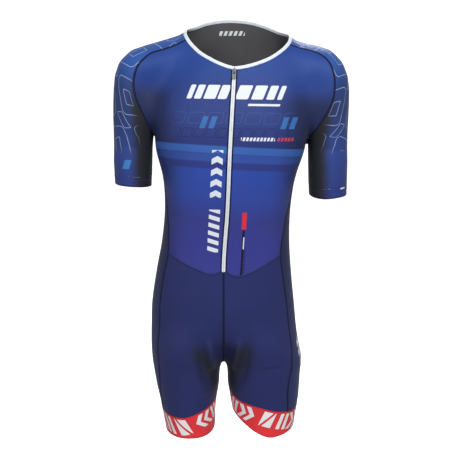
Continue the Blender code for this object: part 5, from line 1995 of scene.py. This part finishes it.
def make_teeth():
    """Two rows of coil loops that meet in the middle."""
    line = zip_line()
    base, along, across, out = frame_along(spaced(line, int(lengths(line)[-1] / TEETH_PITCH)))
    corners = []
    for sign, shift in ((-1, 0), (1, TEETH_PITCH / 2)):
        for a, b, c in LOOP:
            corners.append(base + across * (sign * a) + along * (b + shift) + out * c)
    points = np.stack(corners, 1)
    faces = copies(len(base), 2 * len(LOOP), np.concatenate([LOOP_SIDES, LOOP_SIDES + len(LOOP)]))
    piece = make_mesh("zip_teeth", points.reshape(-1, 3), faces, ("teeth",))
    print("loops in each row:", len(base))


make_zip_tape()
make_teeth()
# Each welt is partly stitching and partly painted shade: a dark line beside the tape.
for half in halves:
    line = zip_line(half.sign * (ZIP_WIDTH / 2 + 0.3))
    ribbon("zip_welt_and_shade_line_" + half.side, line, ZIP_WELT_AND_SHADE_LINE, "thread")
print("tape as cut:", CUTS["cloth_zip_tape"])

# %% [markdown]
# ## Stitch lines on the hems
#
# A turned hem is held by rows of stitches. Each cuff has two rows a few millimetres below the seam that
# joins it to the sleeve, and each leg band has one row just below its top edge.

# %% Hem stitches
CUFF_DROPS = (4.2, 6.6)
BAND_DROP = 1.6


def drop(line, distance):
    """A line lowered on the cloth."""
    return settle(line + np.array([0, 0, -distance]))


for half in halves:
    for number, distance in enumerate(CUFF_DROPS):
        name = "stitches_cuff_%s_%d" % (half.side, number)
        row = drop(half.cuff_top, distance)
        stitches(name, row, 2.8, (2.2, 0.6, 0.4), "hem_thread")
    top = np.concatenate([half.band_front[::-1], half.band_side[1:-1], half.band_back])
    row = drop(top, BAND_DROP)
    stitches("stitches_band_" + half.side, row, 2.6, (2.0, 0.7, 0.4), "thread")
print("rows of stitches on the hems:", 2 * (len(CUFF_DROPS) + 1))

# %% [markdown]
# ## Zip metal
#
# The slider and its pull tab are small die castings with a dull plated finish. Their shapes come from
# the plain model, since they are exact there. They only need a better finish: a grey metal with slow
# changes of tone, a roughness that varies, and the very fine grain of a casting.

# %% Metal finish
def metal_finish():
    """Dull plated metal."""
    material, tree, shader = new_shader("plated_metal", {"Metallic": 0.85})
    tree.links.new(two_tones(tree, 3.0, (78, 83, 92), (104, 110, 120)), shader.inputs["Base Color"])
    rough = noise(tree, 1.2) * 0.16 + 0.26
    tree.links.new(rough.socket, shader.inputs["Roughness"])
    add_bump(tree, shader, noise(tree, 0.6), 0.25, 0.0001)
    return material


metal = metal_finish()
for node in ("zip_slider", "zip_pull"):
    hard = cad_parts[node]
    hard.data.materials.clear()
    hard.data.materials.append(metal)
    print(node, "faces:", len(hard.data.polygons))

# %% [markdown]
# ## Stage, light and camera
#
# A garment for a catalogue is shown on a pale seamless ground. Here that is a round bowl: a floor that
# curves up into a wall. A ground this bright and this close would also wash out the dark cloth with its
# own light. So the bowl is seen by the camera, but diffuse, glossy and shadow rays pass it by.

# %% Seamless ground
FLOOR_RADIUS = 3.4
FLOOR_HEIGHT = -1.5
BEND_RADIUS = 1.4
WALL_TOP = 6.0
GROUND_SHADER = {"Emission Strength": 0.75, "Roughness": 0.95, "Specular IOR Level": 0.0}


def ground_material():
    """Pale paper that glows a little."""
    material, tree, shader = new_shader("pale_ground", GROUND_SHADER)
    tone = two_tones(tree, 900.0, (251, 251, 252), (254, 254, 254))
    tree.links.new(tone, shader.inputs["Base Color"])
    tree.links.new(tone, shader.inputs["Emission Color"])
    return material


def make_ground():
    """A round floor that curves up into a wall on every side."""
    profile = [(0.0, FLOOR_HEIGHT), (FLOOR_RADIUS, FLOOR_HEIGHT)]
    for bend in np.radians(np.arange(10, 91, 10)):
        radius = FLOOR_RADIUS + BEND_RADIUS * math.sin(bend)
        profile.append((radius, FLOOR_HEIGHT + BEND_RADIUS - BEND_RADIUS * math.cos(bend)))
    profile.append((FLOOR_RADIUS + BEND_RADIUS, WALL_TOP))
    around = np.radians(np.arange(0, 360, 7.5))
    points = [(r * math.cos(a), r * math.sin(a), z) for r, z in profile for a in around]
    mesh = bpy.data.meshes.new("ground")
    mesh.from_pydata(points, [], grid_quads(len(profile), len(around), True)[0].tolist())
    mesh.materials.append(ground_material())
    mesh.shade_smooth()
    ground = add_object("ground", mesh)
    ground.visible_diffuse = False
    ground.visible_glossy = False
    ground.visible_shadow = False
    return ground


print("ground faces:", len(make_ground().data.polygons))

# %% [markdown]
# Three round soft lights model the cloth. The key stands in front, to the right and above, and shows the
# knit and the folds. A weaker one in front to the left fills the shadows, and one behind draws a light
# edge round the shoulders. A faint even light from all sides keeps the inside of the neck readable.

# %% Lights
# Each light: name, place, what it looks at, width in metres and power in watts.
LIGHTS = (
    ("key_light", (0.9, -2.6, 1.8), (-0.02, 0, -0.4), 0.7, 78),
    ("fill_light", (-1.4, -2.5, 0.8), (0, 0, -0.3), 1.0, 22),
    ("back_light", (0.4, 2.6, 1.4), (0, 0, -0.3), 1.2, 40),
)
SKY_COLOUR = (0.98, 0.99, 1.0, 1)
SKY_STRENGTH = 0.34

for name, place, target, size, power in LIGHTS:
    data = bpy.data.lights.new(name, "AREA")
    data.shape = "DISK"
    data.size = size
    data.energy = power
    light = add_object(name, data)
    light.location = place
    light.rotation_euler = (Vector(target) - Vector(place)).to_track_quat("-Z", "Y").to_euler()
world = bpy.data.worlds.new("studio")
bpy.context.scene.world = world
world.use_nodes = True
sky = world.node_tree.nodes["Background"]
sky.inputs[0].default_value = SKY_COLOUR
sky.inputs[1].default_value = SKY_STRENGTH
bpy.context.scene.view_settings.view_transform = "Standard"
print("lights:", [name for name, *_ in LIGHTS], "even light:", SKY_STRENGTH)

# %% [markdown]
# The camera stands about two and a half metres away, a little above the neck, and looks slightly down. A
# long lens keeps the suit's proportions, as a catalogue photographer's does, and the suit nearly fills the
# square picture.

# %% Camera
LENS = 92.5
TILT_DOWN = 13.9
CAMERA_PLACE = (-0.028, -2.40, 0.188)

lens = bpy.data.cameras.new("camera")
lens.lens = LENS
lens.sensor_width = 36
lens.clip_end = 30
camera = add_object("camera", lens)
camera.location = CAMERA_PLACE
camera.rotation_euler = (math.radians(90 - TILT_DOWN), 0, 0)
bpy.context.scene.camera = camera
print("camera:", CAMERA_PLACE, "lens:", LENS)

# %% [markdown]
